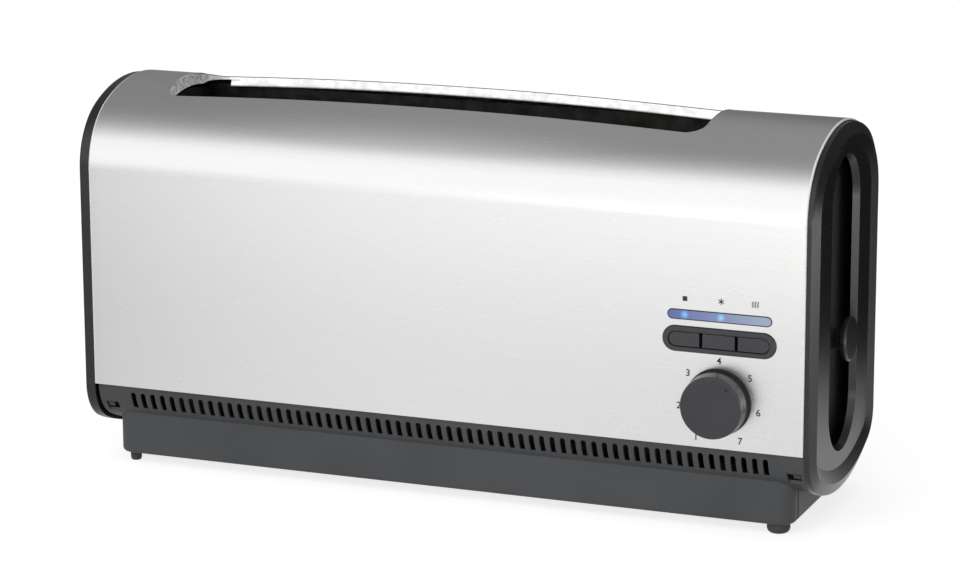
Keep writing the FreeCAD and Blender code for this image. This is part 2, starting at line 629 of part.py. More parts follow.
def build_end_plate(label, low_x):
    """Arched sheet that stands on the base, with a slot for the rack and pivot holes for the guides."""
    high_x, half = low_x + dim("end_plate_sheet"), dim("end_plate_half")
    floor = dim("plinth_low") + dim("base_wall")
    outline = Part.Face(arch_wire(low_x, dim("top_height"), dim("end_plate_inset"), floor))
    plate = outline.extrude(vector(high_x - low_x, 0, 0))
    plate = plate.common(solid_box((low_x, high_x), (-half, half), (floor, FAR)))
    slot_y = -dim("rack_slot_half"), dim("rack_slot_half")
    slot_top = dim("rack_z") + dim("lever_travel") + dim("rack_slot_above")
    slot = solid_box((low_x - 1, high_x + 1), slot_y, (dim("rack_z") - dim("rack_slot_below"), slot_top))
    pivots = [Part.makeCylinder(dim("rail_radius") + dim("pivot_gap"), 3,
                                vector(low_x - 1, side * dim("cage_foot_y"), dim("cage_foot_z")), ALONG)
              for side in (-1, 1)]
    formed(label, plate.cut([slot] + pivots))


def build_ribbon(label, side):
    """Flat heating ribbon, back and forth along its board."""
    outer = side * dim("mica_y")
    inner = side * (dim("mica_y") - dim("ribbon_sheet"))
    y = min(inner, outer), max(inner, outer)
    left, right, tall, step = dim("ribbon_left"), dim("ribbon_right"), dim("ribbon_width"), dim("ribbon_step")
    runs = int(dim("ribbon_runs"))
    strips = []
    for index in range(runs):
        z = dim("ribbon_low") + index * step
        strips.append(solid_box((left, right), y, (z, z + tall)))
        if index < runs - 1:
            x = right if index % 2 == 0 else left + tall
            strips.append(solid_box((x - tall, x), y, (z, z + step + tall)))
    formed(label, strips[0].fuse(strips[1:]).removeSplitter())


def build_guide(label, side):
    """Wire guide that leans towards the bread: upright wires between three rails."""
    foot = vector(0, side * dim("cage_foot_y"), dim("cage_foot_z"))
    rise = vector(0, side * dim("cage_top_y"), dim("cage_top_z")) - foot
    start, end = dim("rail_start"), dim("rail_end")
    wires = [Part.makeCylinder(dim("rail_radius"), end - start, foot + vector(start, 0, 0), ALONG)]
    left, right, count = dim("cage_left"), dim("cage_right"), int(dim("cage_wires"))
    for share in (dim("rail_share"), 1):
        low = foot + rise * share + vector(left, 0, 0)
        wires.append(Part.makeCylinder(dim("rail_radius"), right - left, low, ALONG))
    for index in range(count):
        x = left + 1 + index * (right - left - 2) / (count - 1)
        wires.append(Part.makeCylinder(dim("cage_wire"), rise.Length, foot + vector(x, 0, 0), rise))
    formed(label, wires[0].fuse(wires[1:]).removeSplitter())


def build_chamber_side(place, side):
    """Reflector, mica board, ribbon and guide on one side of the bread."""
    along = "end_plate_left + end_plate_sheet", "end_plate_right"
    sheets = ((f"reflector_{place}", "reflector_y", "reflector_sheet", ("reflector_low", "reflector_high")),
              (f"mica_board_{place}", "mica_y", "mica_sheet", ("mica_low", "mica_high")))
    for label, near, thick, height in sheets:
        across = (near, f"{near} + {thick}") if side > 0 else (f"-{near} - {thick}", f"-{near}")
        keep(block(label, along, across, height), label)
    build_ribbon(f"heating_ribbon_{place}", side)
    build_guide(f"bread_guide_{place}", side)


build_end_plate("chamber_end_left", dim("end_plate_left"))
build_end_plate("chamber_end_right", dim("end_plate_right"))
build_chamber_side("front", -1)
build_chamber_side("rear", 1)


# Lift: rack, carriage and lever slide together on two rods


def build_rack():
    """Upright strip with crosswires under the bread, and a riser to the carriage."""
    z, deep, reach = dim("rack_z"), dim("rack_deep"), dim("rack_reach")
    end, y = dim("rod_x") - dim("carriage_half_x"), (-dim("rack_half"), dim("rack_half"))
    spine = solid_box((dim("rack_left"), end), y, (z - deep, z))
    riser = solid_box((end - deep, end), y, (z - deep, dim("carriage_high") - dim("riser_drop")))
    starts = [vector(dim("rack_first") + index * dim("rack_pitch"), -reach, z)
              for index in range(int(dim("rack_wires")))]
    wires = [Part.makeCylinder(dim("rack_wire"), 2 * reach, start, ACROSS) for start in starts]
    formed("bread_rack", spine.fuse([riser] + wires).removeSplitter())


def build_carriage():
    """Moulded slider on two rods, with a hook for the spring."""
    face = "rod_x + carriage_half_x"
    slab = block("carriage_slab", ("rod_x - carriage_half_x", face), ("-carriage_half_y", "carriage_half_y"),
                 ("carriage_low", "carriage_high"))
    hook = block("carriage_hook", (face, "spring_x + spring_hook"),
                 ("spring_y - spring_hook_half", "spring_y + spring_hook_half"),
                 ("carriage_low + spring_hook_low", "carriage_low + spring_foot"))
    bores = [post(f"carriage_bore_{index}", "rod_x", y, "carriage_low - 9", "carriage_high + 9",
                  "rod_radius + bush_gap") for index, y in enumerate(("-rod_y", "rod_y"))]
    hollow = block("carriage_hollow", ("rod_x - hollow_side", f"{face} + 1"), ("-hollow_half", "hollow_half"),
                   ("carriage_low + hollow_low", "carriage_low + hollow_high"))
    whole = fuse("carriage_whole", slab, hook)
    keep(cut("carriage", whole, fuse("carriage_tools", hollow, *bores)), "lift_carriage")


def build_lever_knob():
    """Turned knob on a short stem, outside the lever window."""
    body = new_body("lever_knob")
    profile = new_sketch(body, "knob_profile", "XZ_Plane", up="lever_z")
    back = "knob_face - knob_thick"
    draw_loop(profile, [("knob_start", "0"), ("knob_start", "knob_stem"), (back, "knob_stem"),
                        (back, "knob_radius"), ("knob_face", "knob_radius"), ("knob_face", "0")])
    turn(body, profile, "H_Axis")
    soften(body, "knob_round", lies_at("X", dim("knob_face")))
    keep(body, "lever_knob")


def build_rods():
    """Two rods in the base, held at the top by a folded bracket on the chamber's end plate."""
    rods = [post(f"rod_{index}", "rod_x", y, "plinth_low + base_wall", "rod_top", "rod_radius")
            for index, y in enumerate(("-rod_y", "rod_y"))]
    keep(group("rod_pair", *rods), "guide_rods")
    plate_face = "end_plate_right + end_plate_sheet"
    across, top = ("-bracket_half", "bracket_half"), "rod_top + bracket_sheet"
    shelf = block("bracket_shelf", (plate_face, "bracket_end"), across, ("rod_top", top))
    leg = block("bracket_leg", (plate_face, f"{plate_face} + bracket_sheet"), across, ("bracket_low", top))
    keep(fuse("bracket", shelf, leg), "rod_bracket")


def build_spring():
    """Slim tube in the place of the pull spring between bracket and carriage."""
    outer = post("spring_outer", "spring_x", "spring_y", "carriage_low + spring_foot", "rod_top",
                 "spring_radius + spring_wire / 2")
    inner = post("spring_inner", "spring_x", "spring_y", "carriage_low", "rod_top + 1",
                 "spring_radius - spring_wire / 2")
    keep(cut("spring_tube", outer, inner), "lift_spring")


def build_guide_plate():
    """Dark wall behind the lever window, with the slit that the lever runs in."""
    x, half, spare = (dim("guide_plate_start"), dim("guide_plate_end")), dim("slit_half"), dim("slit_spare")
    plate = oval_solid(*x, dim("guide_plate_inset"))
    plate = plate.common(solid_box(x, (-60, 60), (dim("plinth_high"), FAR)))
    slit = solid_box((x[0] - 5, x[1] + 5), (-half, half),
                     (dim("lever_z") - spare, dim("lever_z") + dim("lever_travel") + spare))
    formed("lever_guide_plate", plate.cut(slit))


build_rack()
build_carriage()
build_lever_knob()
build_rods()
build_spring()
build_guide_plate()
carriage_face = "rod_x + carriage_half_x"
keep(block("arm", (carriage_face, "knob_start"), ("-arm_half_y", "arm_half_y"),
           ("lever_z - arm_half_z", "lever_z + arm_half_z")), "lever_arm")
keep(block("armature", ("rod_x - carriage_half_x", carriage_face), ("-armature_half", "armature_half"),
           ("carriage_low - armature_sheet", "carriage_low")), "armature_plate")
keep(block("bridge", (carriage_face, f"{carriage_face} + 1"), ("-bridge_half", "bridge_half"),
           ("carriage_low + bridge_low", "carriage_low + bridge_high")), "contact_bridge")


# Electrical parts on the power board


def build_power_board():
    """Board on four bosses, with clearance holes for the rods."""
    body = new_body("power_board")
    outline = new_sketch(body, "power_outline", "XY_Plane", out="power_z")
    draw_rectangle(outline, "power_left", "power_right", "-power_half", "power_half")
    pad(body, outline, "board_thick")
    holes = new_sketch(body, "power_holes", "XY_Plane", out="power_z + board_thick")
    draw_circle(holes, "rod_x", "-rod_y", "rod_radius + 0.6")
    draw_circle(holes, "rod_x", "rod_y", "rod_radius + 0.6")
    pocket(body, holes, "board_thick + 1")
    keep(body, "power_board")


def build_board_parts():
    """What stands on the power board."""
    top = "power_z + board_thick"
    keep(post("core", "rod_x", "0", top, "carriage_low - core_gap", "core_radius"), "magnet_core")
    coil_outer = post("coil_outer", "rod_x", "0", top, "carriage_low - coil_gap", "coil_radius")
    coil_inner = post("coil_inner", "rod_x", "0", "power_z", "carriage_low", "coil_bore")
    keep(cut("coil", coil_outer, coil_inner), "magnet_coil")
    relay = block("relay", ("134", "146"), ("-30", "-14"), (top, "28"))
    capacitor = post("capacitor", "136.5", "-7", top, "30", "4.5")
    fuse_body = block("fuse_body", ("134", "150"), ("8", "13"), (top, "21"))
    keep(group("standing_parts", relay, capacitor, fuse_body), "board_parts")
    keep(block("terminals", ("141", "161"), ("25", "35"), (top, "27")), "terminal_block")
    leaf_x = f"{carriage_face} + 1 + leaf_gap", f"{carriage_face} + 1 + leaf_gap + leaf_sheet"
    sides = ("-bridge_half", "leaf_width - bridge_half"), ("bridge_half - leaf_width", "bridge_half")
    leaves = [block(f"leaf_{index}", leaf_x, y, (top, "carriage_low + leaf_rise"))
              for index, y in enumerate(sides)]
    keep(group("leaves", *leaves), "mains_contacts")


build_power_board()
build_board_parts()


# Control panel


def build_panel_frame():
    """Moulded frame that holds the control board behind the front wall."""
    outer = block("frame_outer", ("panel_x - frame_half", "panel_x + frame_half"),
                  ("shell_sheet + frame_gap - half_depth", "-board_front"), ("frame_low", "frame_high"))
    inner = block("frame_inner", ("panel_x - frame_half + frame_wall", "panel_x + frame_half - frame_wall"),
                  ("-60", "-40"), ("frame_low + frame_wall", "frame_high - frame_wall"))
    keep(cut("frame", outer, inner), "panel_frame")


def build_control_board():
    """Upright board with a hole for the dial's spindle."""
    body = new_body("control_board")
    outline = new_sketch(body, "control_outline", "XZ_Plane", out="board_front - board_thick")
    draw_rectangle(outline, "panel_x - frame_half", "panel_x + frame_half", "frame_low", "frame_high")
    pad(body, outline, "board_thick")
    hole = new_sketch(body, "control_hole", "XZ_Plane", out="board_front")
    draw_circle(hole, "panel_x", "dial_z", "shaft_radius + 0.5")
    pocket(body, hole, "board_thick + 1")
    keep(body, "control_board")


def build_timer():
    """Round control behind the board; the dial's spindle turns in it."""
    face = "board_thick - board_front"
    case = spindle("timer_case", "panel_x", "dial_z", face, f"{face} + timer_deep", "timer_radius")
    bore = spindle("timer_hole", "panel_x", "dial_z", f"{face} - 1", f"{face} + timer_bore",
                   "shaft_radius + socket_gap")
    keep(cut("timer", case, bore), "timer_control")
    end = f"{face} + timer_bore - timer_spare"
    start = "dial_face_y + dial_bore"
    keep(spindle("dial_rod", "panel_x", "dial_z", start, end, "shaft_radius"), "dial_spindle")


def build_collar():
    """Flat ring on the steel behind the dial."""
    front = "-half_depth - collar_thick"
    disc = spindle("collar_disc", "panel_x", "dial_z", front, "-half_depth", "dial_back")
    hole = spindle("collar_hole", "panel_x", "dial_z", "-60", "-50", "shaft_hole")
    keep(cut("collar", disc, hole), "dial_collar")


def build_dial():
    """Turned knob with a slight taper, a soft front edge and a small pointer dimple."""
    body = new_body("timer_dial")
    profile = new_sketch(body, "dial_profile", "YZ_Plane", up="dial_z", out="panel_x")
    back, bore = "-half_depth - dial_gap", "shaft_radius + shaft_fit"
    draw_loop(profile, [
        (back, bore), (back, "dial_back"), ("dial_face_y", "dial_front"), ("dial_face_y", "0"),
        ("dial_face_y + dial_bore", "0"), ("dial_face_y + dial_bore", bore),
    ])
    turn(body, profile, "H_Axis")
    soften(body, "dial_round", lies_at("Y", dim("dial_face_y")))
    dimple = new_sketch(body, "dial_dimple", "XZ_Plane", out="-dial_face_y")
    draw_circle(dimple, "panel_x + pointer_reach * sin(pointer_angle)",
                "dial_z + pointer_reach * cos(pointer_angle)", "pointer_radius")
    pocket(body, dimple, "pointer_depth")
    keep(body, "timer_dial")


def build_bezel():
    """Surround of the three keys: a flange over the steel and a sleeve through it."""
    body = new_body("key_bezel")
    flange = new_sketch(body, "bezel_flange", "XZ_Plane", out="half_depth")
    draw_stadium(flange, "panel_x", "bezel_z", "bezel_length", "bezel_height")
    pad(body, flange, "bezel_proud")
    soften(body, "bezel_round", lies_at("Y", -number("half_depth + bezel_proud")))
    sleeve = new_sketch(body, "bezel_sleeve", "XZ_Plane", out="sleeve_end")
    draw_stadium(sleeve, "panel_x", "bezel_z", "bezel_length - 2 * bezel_rim", "bezel_height - 2 * bezel_rim")
    pad(body, sleeve, "half_depth - sleeve_end + 0.5")
    well = new_sketch(body, "bezel_well", "XZ_Plane", out="half_depth + 5")
    draw_stadium(well, "panel_x", "bezel_z", "keys_length", "keys_height")
    pocket(body, well, "20")
    keep(body, "key_bezel")


def build_key(name, low, high):
    """One of the keys that fill the bezel's well; the flange behind it stops it from falling out."""
    body = new_body(name)
    cap = new_sketch(body, f"{name}_cap", "XZ_Plane", out="sleeve_end - key_inside")
    draw_stadium(cap, "panel_x", "bezel_z", "keys_length - 2 * key_gap", "keys_height - 2 * key_gap")
    pad(body, cap, "key_face - sleeve_end + key_inside")
    flange = new_sketch(body, f"{name}_flange", "XZ_Plane", out="sleeve_end - key_inside - key_flange")
    draw_stadium(flange, "panel_x", "bezel_z", "keys_length + 2 * key_flange", "keys_height + 2 * key_flange")
    pad(body, flange, "key_flange + 0.1")
    limits = (("left", "panel_x - 40", f"panel_x + {low} + key_split" if low else None),
              ("right", f"panel_x + {high} - key_split" if high else None, "panel_x + 40"))
    for side, left, right in limits:
        if left and right:
            trim = new_sketch(body, f"{name}_trim_{side}", "XZ_Plane", out="70")
            draw_rectangle(trim, left, right, "bezel_z - 10", "bezel_z + 10")
            pocket(body, trim, "40")
    soften(body, "key_round", lies_at("Y", -dim("key_face")))
    keep(body, name)


def build_switches():
    """Three small push switches on the control board, one behind each key."""
    switches = []
    for index, centre in enumerate(("-lamp_pitch", "0", "lamp_pitch")):
        x = f"panel_x + {centre}"
        case = block(f"switch_case_{index}", (f"{x} - switch_half", f"{x} + switch_half"),
                     ("-board_front - switch_deep", "-board_front"),
                     ("bezel_z - switch_half", "bezel_z + switch_half"))
        pin = spindle(f"switch_pin_{index}", x, "bezel_z", "-board_front - pin_reach", "-board_front - 1",
                      "pin_radius")
        switches.append(fuse(f"switch_{index}", case, pin))
    keep(group("switches", *switches), "key_switches")


def build_lamps():
    """Three indicator lamps, and the long clear strip in the front wall over them."""
    lamps = [spindle(f"lamp_{index}", f"panel_x + {centre}", "window_z", "-lamp_front", "-board_front",
                     "lamp_radius")
             for index, centre in enumerate(("-lamp_pitch", "0", "lamp_pitch"))]
    keep(group("lamps", *lamps), "indicator_lamps")
    body = new_body("lamp_window")
    strip = new_sketch(body, "window_strip", "XZ_Plane", out="strip_back")
    draw_stadium(strip, "panel_x", "window_z", "window_length - strip_gap", "window_height - strip_gap")
    pad(body, strip, "half_depth + strip_proud - strip_back")
    keep(body, "lamp_window")


def build_screws():
    """Screw heads at the corners of the control board."""
    corners = [(f"panel_x {side} (frame_half - frame_wall)", z)
               for side in "-+" for z in ("frame_low + frame_wall", "frame_high - frame_wall")]
    face = "board_thick - board_front"
    heads = [spindle(f"screw_{index}", x, z, face, f"{face} + screw_head", "screw_radius")
             for index, (x, z) in enumerate(corners)]
    keep(group("screw_heads", *heads), "board_screws")


build_panel_frame()
build_control_board()
build_timer()
build_collar()
build_dial()
build_bezel()
build_key("stop_key", None, "key_split_left")
build_key("defrost_key", "key_split_left", "key_split_right")
build_key("reheat_key", "key_split_right", None)
build_switches()
build_lamps()
build_screws()


# Crumb tray, drawn out at the rear


def build_tray():
    """Shallow tray on the base's floor, and the grip that closes its opening."""
    floor = "plinth_low + base_wall + tray_gap"
    sides, ends = ("tray_left", "tray_right"), ("tray_front", "tray_rear")
    whole = block("tray_block", sides, ends, (floor, "tray_high"))
    inside = block("tray_inside", ("tray_left + tray_sheet", "tray_right - tray_sheet"),
                   ("tray_front + tray_sheet", "tray_rear - tray_sheet"),
                   (f"{floor} + tray_sheet", "tray_high + 9"))
    keep(cut("tray", whole, inside), "crumb_tray")
    bar = block("grip_bar", ("tray_left - grip_spare", "tray_right + grip_spare"), ("tray_rear", "grip_face"),
                (floor, "tray_high + grip_rise"))
    lip = block("grip_lip_bar", ("grip_left", "grip_right"), ("grip_face", "grip_end"),
                (floor, f"{floor} + grip_lip"))
    keep(fuse("grip", bar, lip), "tray_grip")


build_tray()


def check_and_write():
    """Stop on any failed object, then write one file for each sub-part."""
    sheet.clear(SCRATCH_CELL)
    doc.recompute()
    for item in doc.Objects:
        if "Invalid" in item.State or "Error" in item.State:
            raise RuntimeError(f"{item.Label} failed: {item.State}")
    os.makedirs("parts", exist_ok=True)
    for piece in pieces:
        shape = piece.Shape
        if shape.isNull() or not shape.isValid() or not shape.Solids:
            raise RuntimeError(f"{piece.Label} has no valid solid")
        shape.exportStep(f"parts/{piece.Label}.step")
        box = shape.optimalBoundingBox(False, False)
        print(f"{piece.Label:24s} {len(shape.Solids):3d} {shape.Volume / 1000:9.2f} cm3"
              f"  x {box.XMin:7.1f} {box.XMax:7.1f}  y {box.YMin:7.1f} {box.YMax:7.1f}"
              f"  z {box.ZMin:6.1f} {box.ZMax:6.1f}")
    print(len(pieces), "sub-parts")


check_and_write()
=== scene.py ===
"""Long slot toaster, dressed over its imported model. Lengths are metres, in the model's own frame."""
import math
import bmesh
import bpy
from mathutils import Matrix, Vector


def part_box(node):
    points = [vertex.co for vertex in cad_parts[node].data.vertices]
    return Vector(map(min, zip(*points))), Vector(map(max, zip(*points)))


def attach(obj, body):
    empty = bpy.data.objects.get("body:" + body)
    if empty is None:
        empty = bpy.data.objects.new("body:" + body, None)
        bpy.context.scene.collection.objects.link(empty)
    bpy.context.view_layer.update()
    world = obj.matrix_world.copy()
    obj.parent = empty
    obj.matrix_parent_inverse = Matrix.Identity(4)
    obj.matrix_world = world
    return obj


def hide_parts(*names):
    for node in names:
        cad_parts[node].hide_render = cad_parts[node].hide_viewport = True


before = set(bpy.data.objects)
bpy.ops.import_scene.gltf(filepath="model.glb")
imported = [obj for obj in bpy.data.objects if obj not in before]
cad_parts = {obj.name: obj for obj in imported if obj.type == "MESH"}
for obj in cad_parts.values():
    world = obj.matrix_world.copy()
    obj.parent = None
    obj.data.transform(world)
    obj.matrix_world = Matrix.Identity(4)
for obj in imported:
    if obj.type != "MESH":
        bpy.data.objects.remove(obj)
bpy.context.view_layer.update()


# Steel wrap. One sheet of brushed stainless steel, 0.8 mm thick, folded over into an arch that swells a
# little along the bread slot. The slot and the control openings are punched, and the ends' edges rounded.
MM = 0.001
wrap_low, wrap_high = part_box("steel_shell")
middle_x, middle_y = (wrap_low.x + wrap_high.x) / 2, (wrap_low.y + wrap_high.y) / 2
wrap_half_length = (wrap_high.x - wrap_low.x) / 2
wrap_half_depth = 56 * MM
wrap_bottom = 42.7 * MM
wrap_side = 20.5 * MM
wrap_spring = 151.7 * MM
wrap_corner = wrap_half_depth - wrap_side
wrap_top = 192 * MM
wrap_swell = 5.4 * MM
swell_power, swell_root = 2.2, 0.9
wrap_sheet = 0.8 * MM
slot_left, slot_right = -156.8 * MM, 124.7 * MM
slot_half = 29.1 * MM
slot_corner = 9.5 * MM
panel_x = middle_x + 143.5 * MM
front_y = middle_y - wrap_half_depth
keys_z = 94.5 * MM
window_z = 106.2 * MM
dial_z = 65.6 * MM
rolling_steps = 24
merge_distance = 0.01 * MM
hair = 0.1 * MM


def pick(piece, kind, wanted):
    """In edit mode, select only the vertices, edges or faces that pass a test."""
    mesh = bmesh.from_edit_mesh(piece.data)
    bpy.context.tool_settings.mesh_select_mode = (kind == "verts", kind == "edges", kind == "faces")
    for group in (mesh.verts, mesh.edges, mesh.faces):
        for part in group:
            part.select = False
    for part in getattr(mesh, kind):
        if wanted(part):
            part.select_set(True)
    bmesh.update_edit_mesh(piece.data)


def everything(part):
    return True


def start_piece(name, add, scale=(1, 1, 1), **how):
    """Add one of Blender's own shapes, with its size and place in its mesh, and go into edit mode."""
    if bpy.context.mode != "OBJECT":
        bpy.ops.object.mode_set(mode="OBJECT")
    bpy.ops.object.select_all(action="DESELECT")
    add(**how)
    piece = bpy.context.object
    piece.name = name
    piece.data.name = name
    piece.scale = scale
    bpy.ops.object.transform_apply(location=True, rotation=True, scale=True)
    bpy.ops.object.mode_set(mode="EDIT")
    return piece


def apply_modifier(piece, kind, **how):
    """Put a modifier on a piece and apply it."""
    if bpy.context.mode != "OBJECT":
        bpy.ops.object.mode_set(mode="OBJECT")
    bpy.ops.object.select_all(action="DESELECT")
    piece.select_set(True)
    bpy.context.view_layer.objects.active = piece
    modifier = piece.modifiers.new(kind.lower(), kind)
    for name, value in how.items():
        setattr(modifier, name, value)
    bpy.ops.object.modifier_apply(modifier=modifier.name)


def punch(piece, *tools):
    """Cut tools out of a piece; the tools are used up."""
    for tool in tools:
        apply_modifier(piece, "BOOLEAN", operation="DIFFERENCE", object=tool, solver="EXACT")
        bpy.data.objects.remove(tool)


def smooth(piece):
    """Shade a piece smoothly over all but its sharp edges."""
    if bpy.context.mode != "OBJECT":
        bpy.ops.object.mode_set(mode="OBJECT")
    bpy.ops.object.select_all(action="DESELECT")
    piece.select_set(True)
    bpy.context.view_layer.objects.active = piece
    bpy.ops.object.shade_smooth_by_angle(angle=math.radians(40))


def bar(name, x, y, z, along, rounding, steps=8):
    """Block between pairs of numbers, whose edges along one axis are rounded by bevelling."""
    size = (x[1] - x[0], y[1] - y[0], z[1] - z[0])
    centre = ((x[0] + x[1]) / 2, (y[0] + y[1]) / 2, (z[0] + z[1]) / 2)
    piece = start_piece(name, bpy.ops.mesh.primitive_cube_add, size=1, location=centre, scale=size)
    pick(piece, "edges", lambda edge: abs((edge.verts[0].co - edge.verts[1].co).normalized()[along]) > 0.99)
    bpy.ops.mesh.bevel(offset=rounding * 0.9999, segments=steps, affect="EDGES")
    pick(piece, "verts", everything)
    bpy.ops.mesh.remove_doubles(threshold=merge_distance)
    bpy.ops.object.mode_set(mode="OBJECT")
    return piece


def stadium(name, x, z, length, height, y, steps=10):
    """Bar with round ends, lying along the front wall."""
    sides, ends = (x - length / 2, x + length / 2), (z - height / 2, z + height / 2)
    return bar(name, sides, y, ends, 1, height / 2, steps)


def swell_at(x):
    """Share of the swell along the slot: none at its ends, all of it over its middle."""
    middle, half = (slot_left + slot_right) / 2, (slot_right - slot_left) / 2
    share = abs(x - middle_x - middle) / half
    return (1 - share**swell_power) ** swell_root if share < 1 else 0


def arch_height(x, y):
    """Height of the arched top over a point, from its wide arc and the corner arcs it runs into."""
    rise = wrap_top + wrap_swell * swell_at(x) - wrap_spring
    wide = (wrap_side**2 + rise**2 - wrap_corner**2) / (2 * (rise - wrap_corner))
    centre = wrap_spring + rise - wide
    reach = abs(y - middle_y)
    join = wrap_side + wrap_corner * wrap_side / math.hypot(wrap_side, wrap_spring - centre)
    if reach < join:
        return centre + math.sqrt(wide**2 - reach**2)
    return wrap_spring + math.sqrt(max(wrap_corner**2 - (reach - wrap_side) ** 2, 0))


def swell(piece):
    """Raise what stands under the arch by as much as the arch is higher there than at its ends."""
    for vertex in piece.data.vertices:
        level = arch_height(middle_x + wrap_half_length, vertex.co.y)
        if vertex.co.z > wrap_spring:
            vertex.co.z += arch_height(vertex.co.x, vertex.co.y) - level


def roll_wrap(name, low):
    """Front wall drawn over two rolled corners and the wide arc, and down the rear."""
    rise = wrap_top - wrap_spring
    wide = (wrap_side**2 + rise**2 - wrap_corner**2) / (2 * (rise - wrap_corner))
    centre_z = wrap_top - wide
    slope = math.atan2(wrap_spring - centre_z, wrap_side)
    wall = start_piece(name, bpy.ops.mesh.primitive_grid_add, x_subdivisions=70, y_subdivisions=1, size=1,
                       location=(middle_x, front_y, (low + wrap_spring) / 2), rotation=(math.pi / 2, 0, 0),
                       scale=(2 * wrap_half_length, wrap_spring - low, 1))
    pick(wall, "edges", lambda edge: all(vertex.co.z > wrap_spring - hair for vertex in edge.verts))
    for angle, y, z, steps in ((slope, -wrap_side, wrap_spring, rolling_steps),
                               (math.pi - 2 * slope, 0, centre_z, rolling_steps),
                               (slope, wrap_side, wrap_spring, rolling_steps)):
        bpy.ops.mesh.spin(steps=steps, angle=angle, center=(middle_x, middle_y + y, z), axis=(1, 0, 0))
    bpy.ops.mesh.extrude_region_move(TRANSFORM_OT_translate={"value": (0, 0, low - wrap_spring)})
    pick(wall, "verts", everything)
    bpy.ops.mesh.remove_doubles(threshold=merge_distance)
    bpy.ops.object.mode_set(mode="OBJECT")
    swell(wall)
    if sum(face.normal.y * (face.center.y < middle_y - 50 * MM) for face in wall.data.polygons) > 0:
        bpy.ops.object.mode_set(mode="EDIT")
        pick(wall, "faces", everything)
        bpy.ops.mesh.flip_normals()
        bpy.ops.object.mode_set(mode="OBJECT")
    return wall


def outside(spot):
    """Whether a point lies on the wrap's outer face."""
    if spot.z > wrap_spring:
        return spot.z > arch_height(middle_x + wrap_half_length, spot.y) - hair
    return abs(spot.y - middle_y) > wrap_half_depth - hair


wrap = roll_wrap("steel_wrap", wrap_bottom)
apply_modifier(wrap, "SOLIDIFY", thickness=wrap_sheet, offset=-1, use_even_offset=True)
slot_tool = bar("slot_tool", (middle_x + slot_left, middle_x + slot_right),
                (middle_y - slot_half, middle_y + slot_half), (150 * MM, 230 * MM), 2, slot_corner, 12)
wall_y = (front_y - 2 * MM, front_y + 4 * MM)
punch(wrap, slot_tool,
      stadium("bezel_tool", panel_x, keys_z, 52.8 * MM, 9.5 * MM, wall_y),
      stadium("window_tool", panel_x, window_z, 50.3 * MM, 4.1 * MM, wall_y),
      stadium("spindle_tool", panel_x, dial_z, 9 * MM, 9 * MM, wall_y, 16))
end_round, burr_round = 0.8 * MM, 0.22 * MM
bpy.ops.object.mode_set(mode="EDIT")
pick(wrap, "edges", lambda edge: all(
    abs(vertex.co.x - middle_x) > wrap_half_length - merge_distance and outside(vertex.co)
    for vertex in edge.verts))
bpy.ops.mesh.bevel(offset=end_round, segments=4, affect="EDGES")
apply_modifier(wrap, "BEVEL", width=burr_round, segments=2, limit_method="ANGLE", angle_limit=math.radians(60))
smooth(wrap)
apply_modifier(wrap, "WEIGHTED_NORMAL", keep_sharp=True, weight=90)


def new_finish(name, colour, metallic, roughness):
    """Finish with one shader; what is the same all over it is set on the shader's own sockets."""
    finish = bpy.data.materials.new(name)
    finish.use_nodes = True
    shader = finish.node_tree.nodes["Principled BSDF"]
    shader.inputs["Base Color"].default_value = (*colour, 1)
    shader.inputs["Metallic"].default_value = metallic
    shader.inputs["Roughness"].default_value = roughness
    return finish


def shader_of(finish):
    return finish.node_tree.nodes["Principled BSDF"]


def add_node(finish, kind, sockets=None, **settings):
    """Node with its sockets and settings filled in."""
    node = finish.node_tree.nodes.new(kind)
    for name, value in settings.items():
        setattr(node, name, value)
    for name, value in (sockets or {}).items():
        node.inputs[name].default_value = value
    return node


def join(finish, node, out, other, into):
    finish.node_tree.links.new(node.outputs[out], other.inputs[into])


def grain(finish, size, stretch=(1, 1, 1), detail=2, roughness=0.5):
    """Noise with grains of a size in metres, drawn out along the axes."""
    place = add_node(finish, "ShaderNodeTexCoord")
    scale = [1 / (size * factor) for factor in stretch]
    mapping = add_node(finish, "ShaderNodeMapping", {"Scale": scale})
    noise = add_node(finish, "ShaderNodeTexNoise", {"Scale": 1, "Detail": detail, "Roughness": roughness})
    join(finish, place, "Object", mapping, "Vector")
    join(finish, mapping, "Vector", noise, "Vector")
    return noise


def vary_colour(finish, noise, dark, light, low=0.35, high=0.65, out="Fac"):
    """Base colour that moves between two tones with the grain, or with another node's output."""
    ramp = add_node(finish, "ShaderNodeValToRGB")
    for step, place, tone in zip(ramp.color_ramp.elements, (low, high), (dark, light)):
        step.position = place
        step.color = (*tone, 1)
    join(finish, noise, out, ramp, "Fac")
    join(finish, ramp, "Color", shader_of(finish), "Base Color")


def vary_roughness(finish, noise, low, high):
    """Roughness that moves between two values with the grain."""
    span = {"From Min": 0.3, "From Max": 0.7, "To Min": low, "To Max": high}
    varied = add_node(finish, "ShaderNodeMapRange", span)
    join(finish, noise, "Fac", varied, "Value")
    join(finish, varied, "Result", shader_of(finish), "Roughness")


def emboss(finish, noise, height, strength):
    """Bump of a height in metres from the grain."""
    bump = add_node(finish, "ShaderNodeBump", {"Distance": height, "Strength": strength})
    join(finish, noise, "Fac", bump, "Height")
    join(finish, bump, "Normal", shader_of(finish), "Normal")


def dress(finish, *names):
    """Give CAD nodes a finish."""
    for name in names:
        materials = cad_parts[name].data.materials
        materials.clear()
        materials.append(finish)


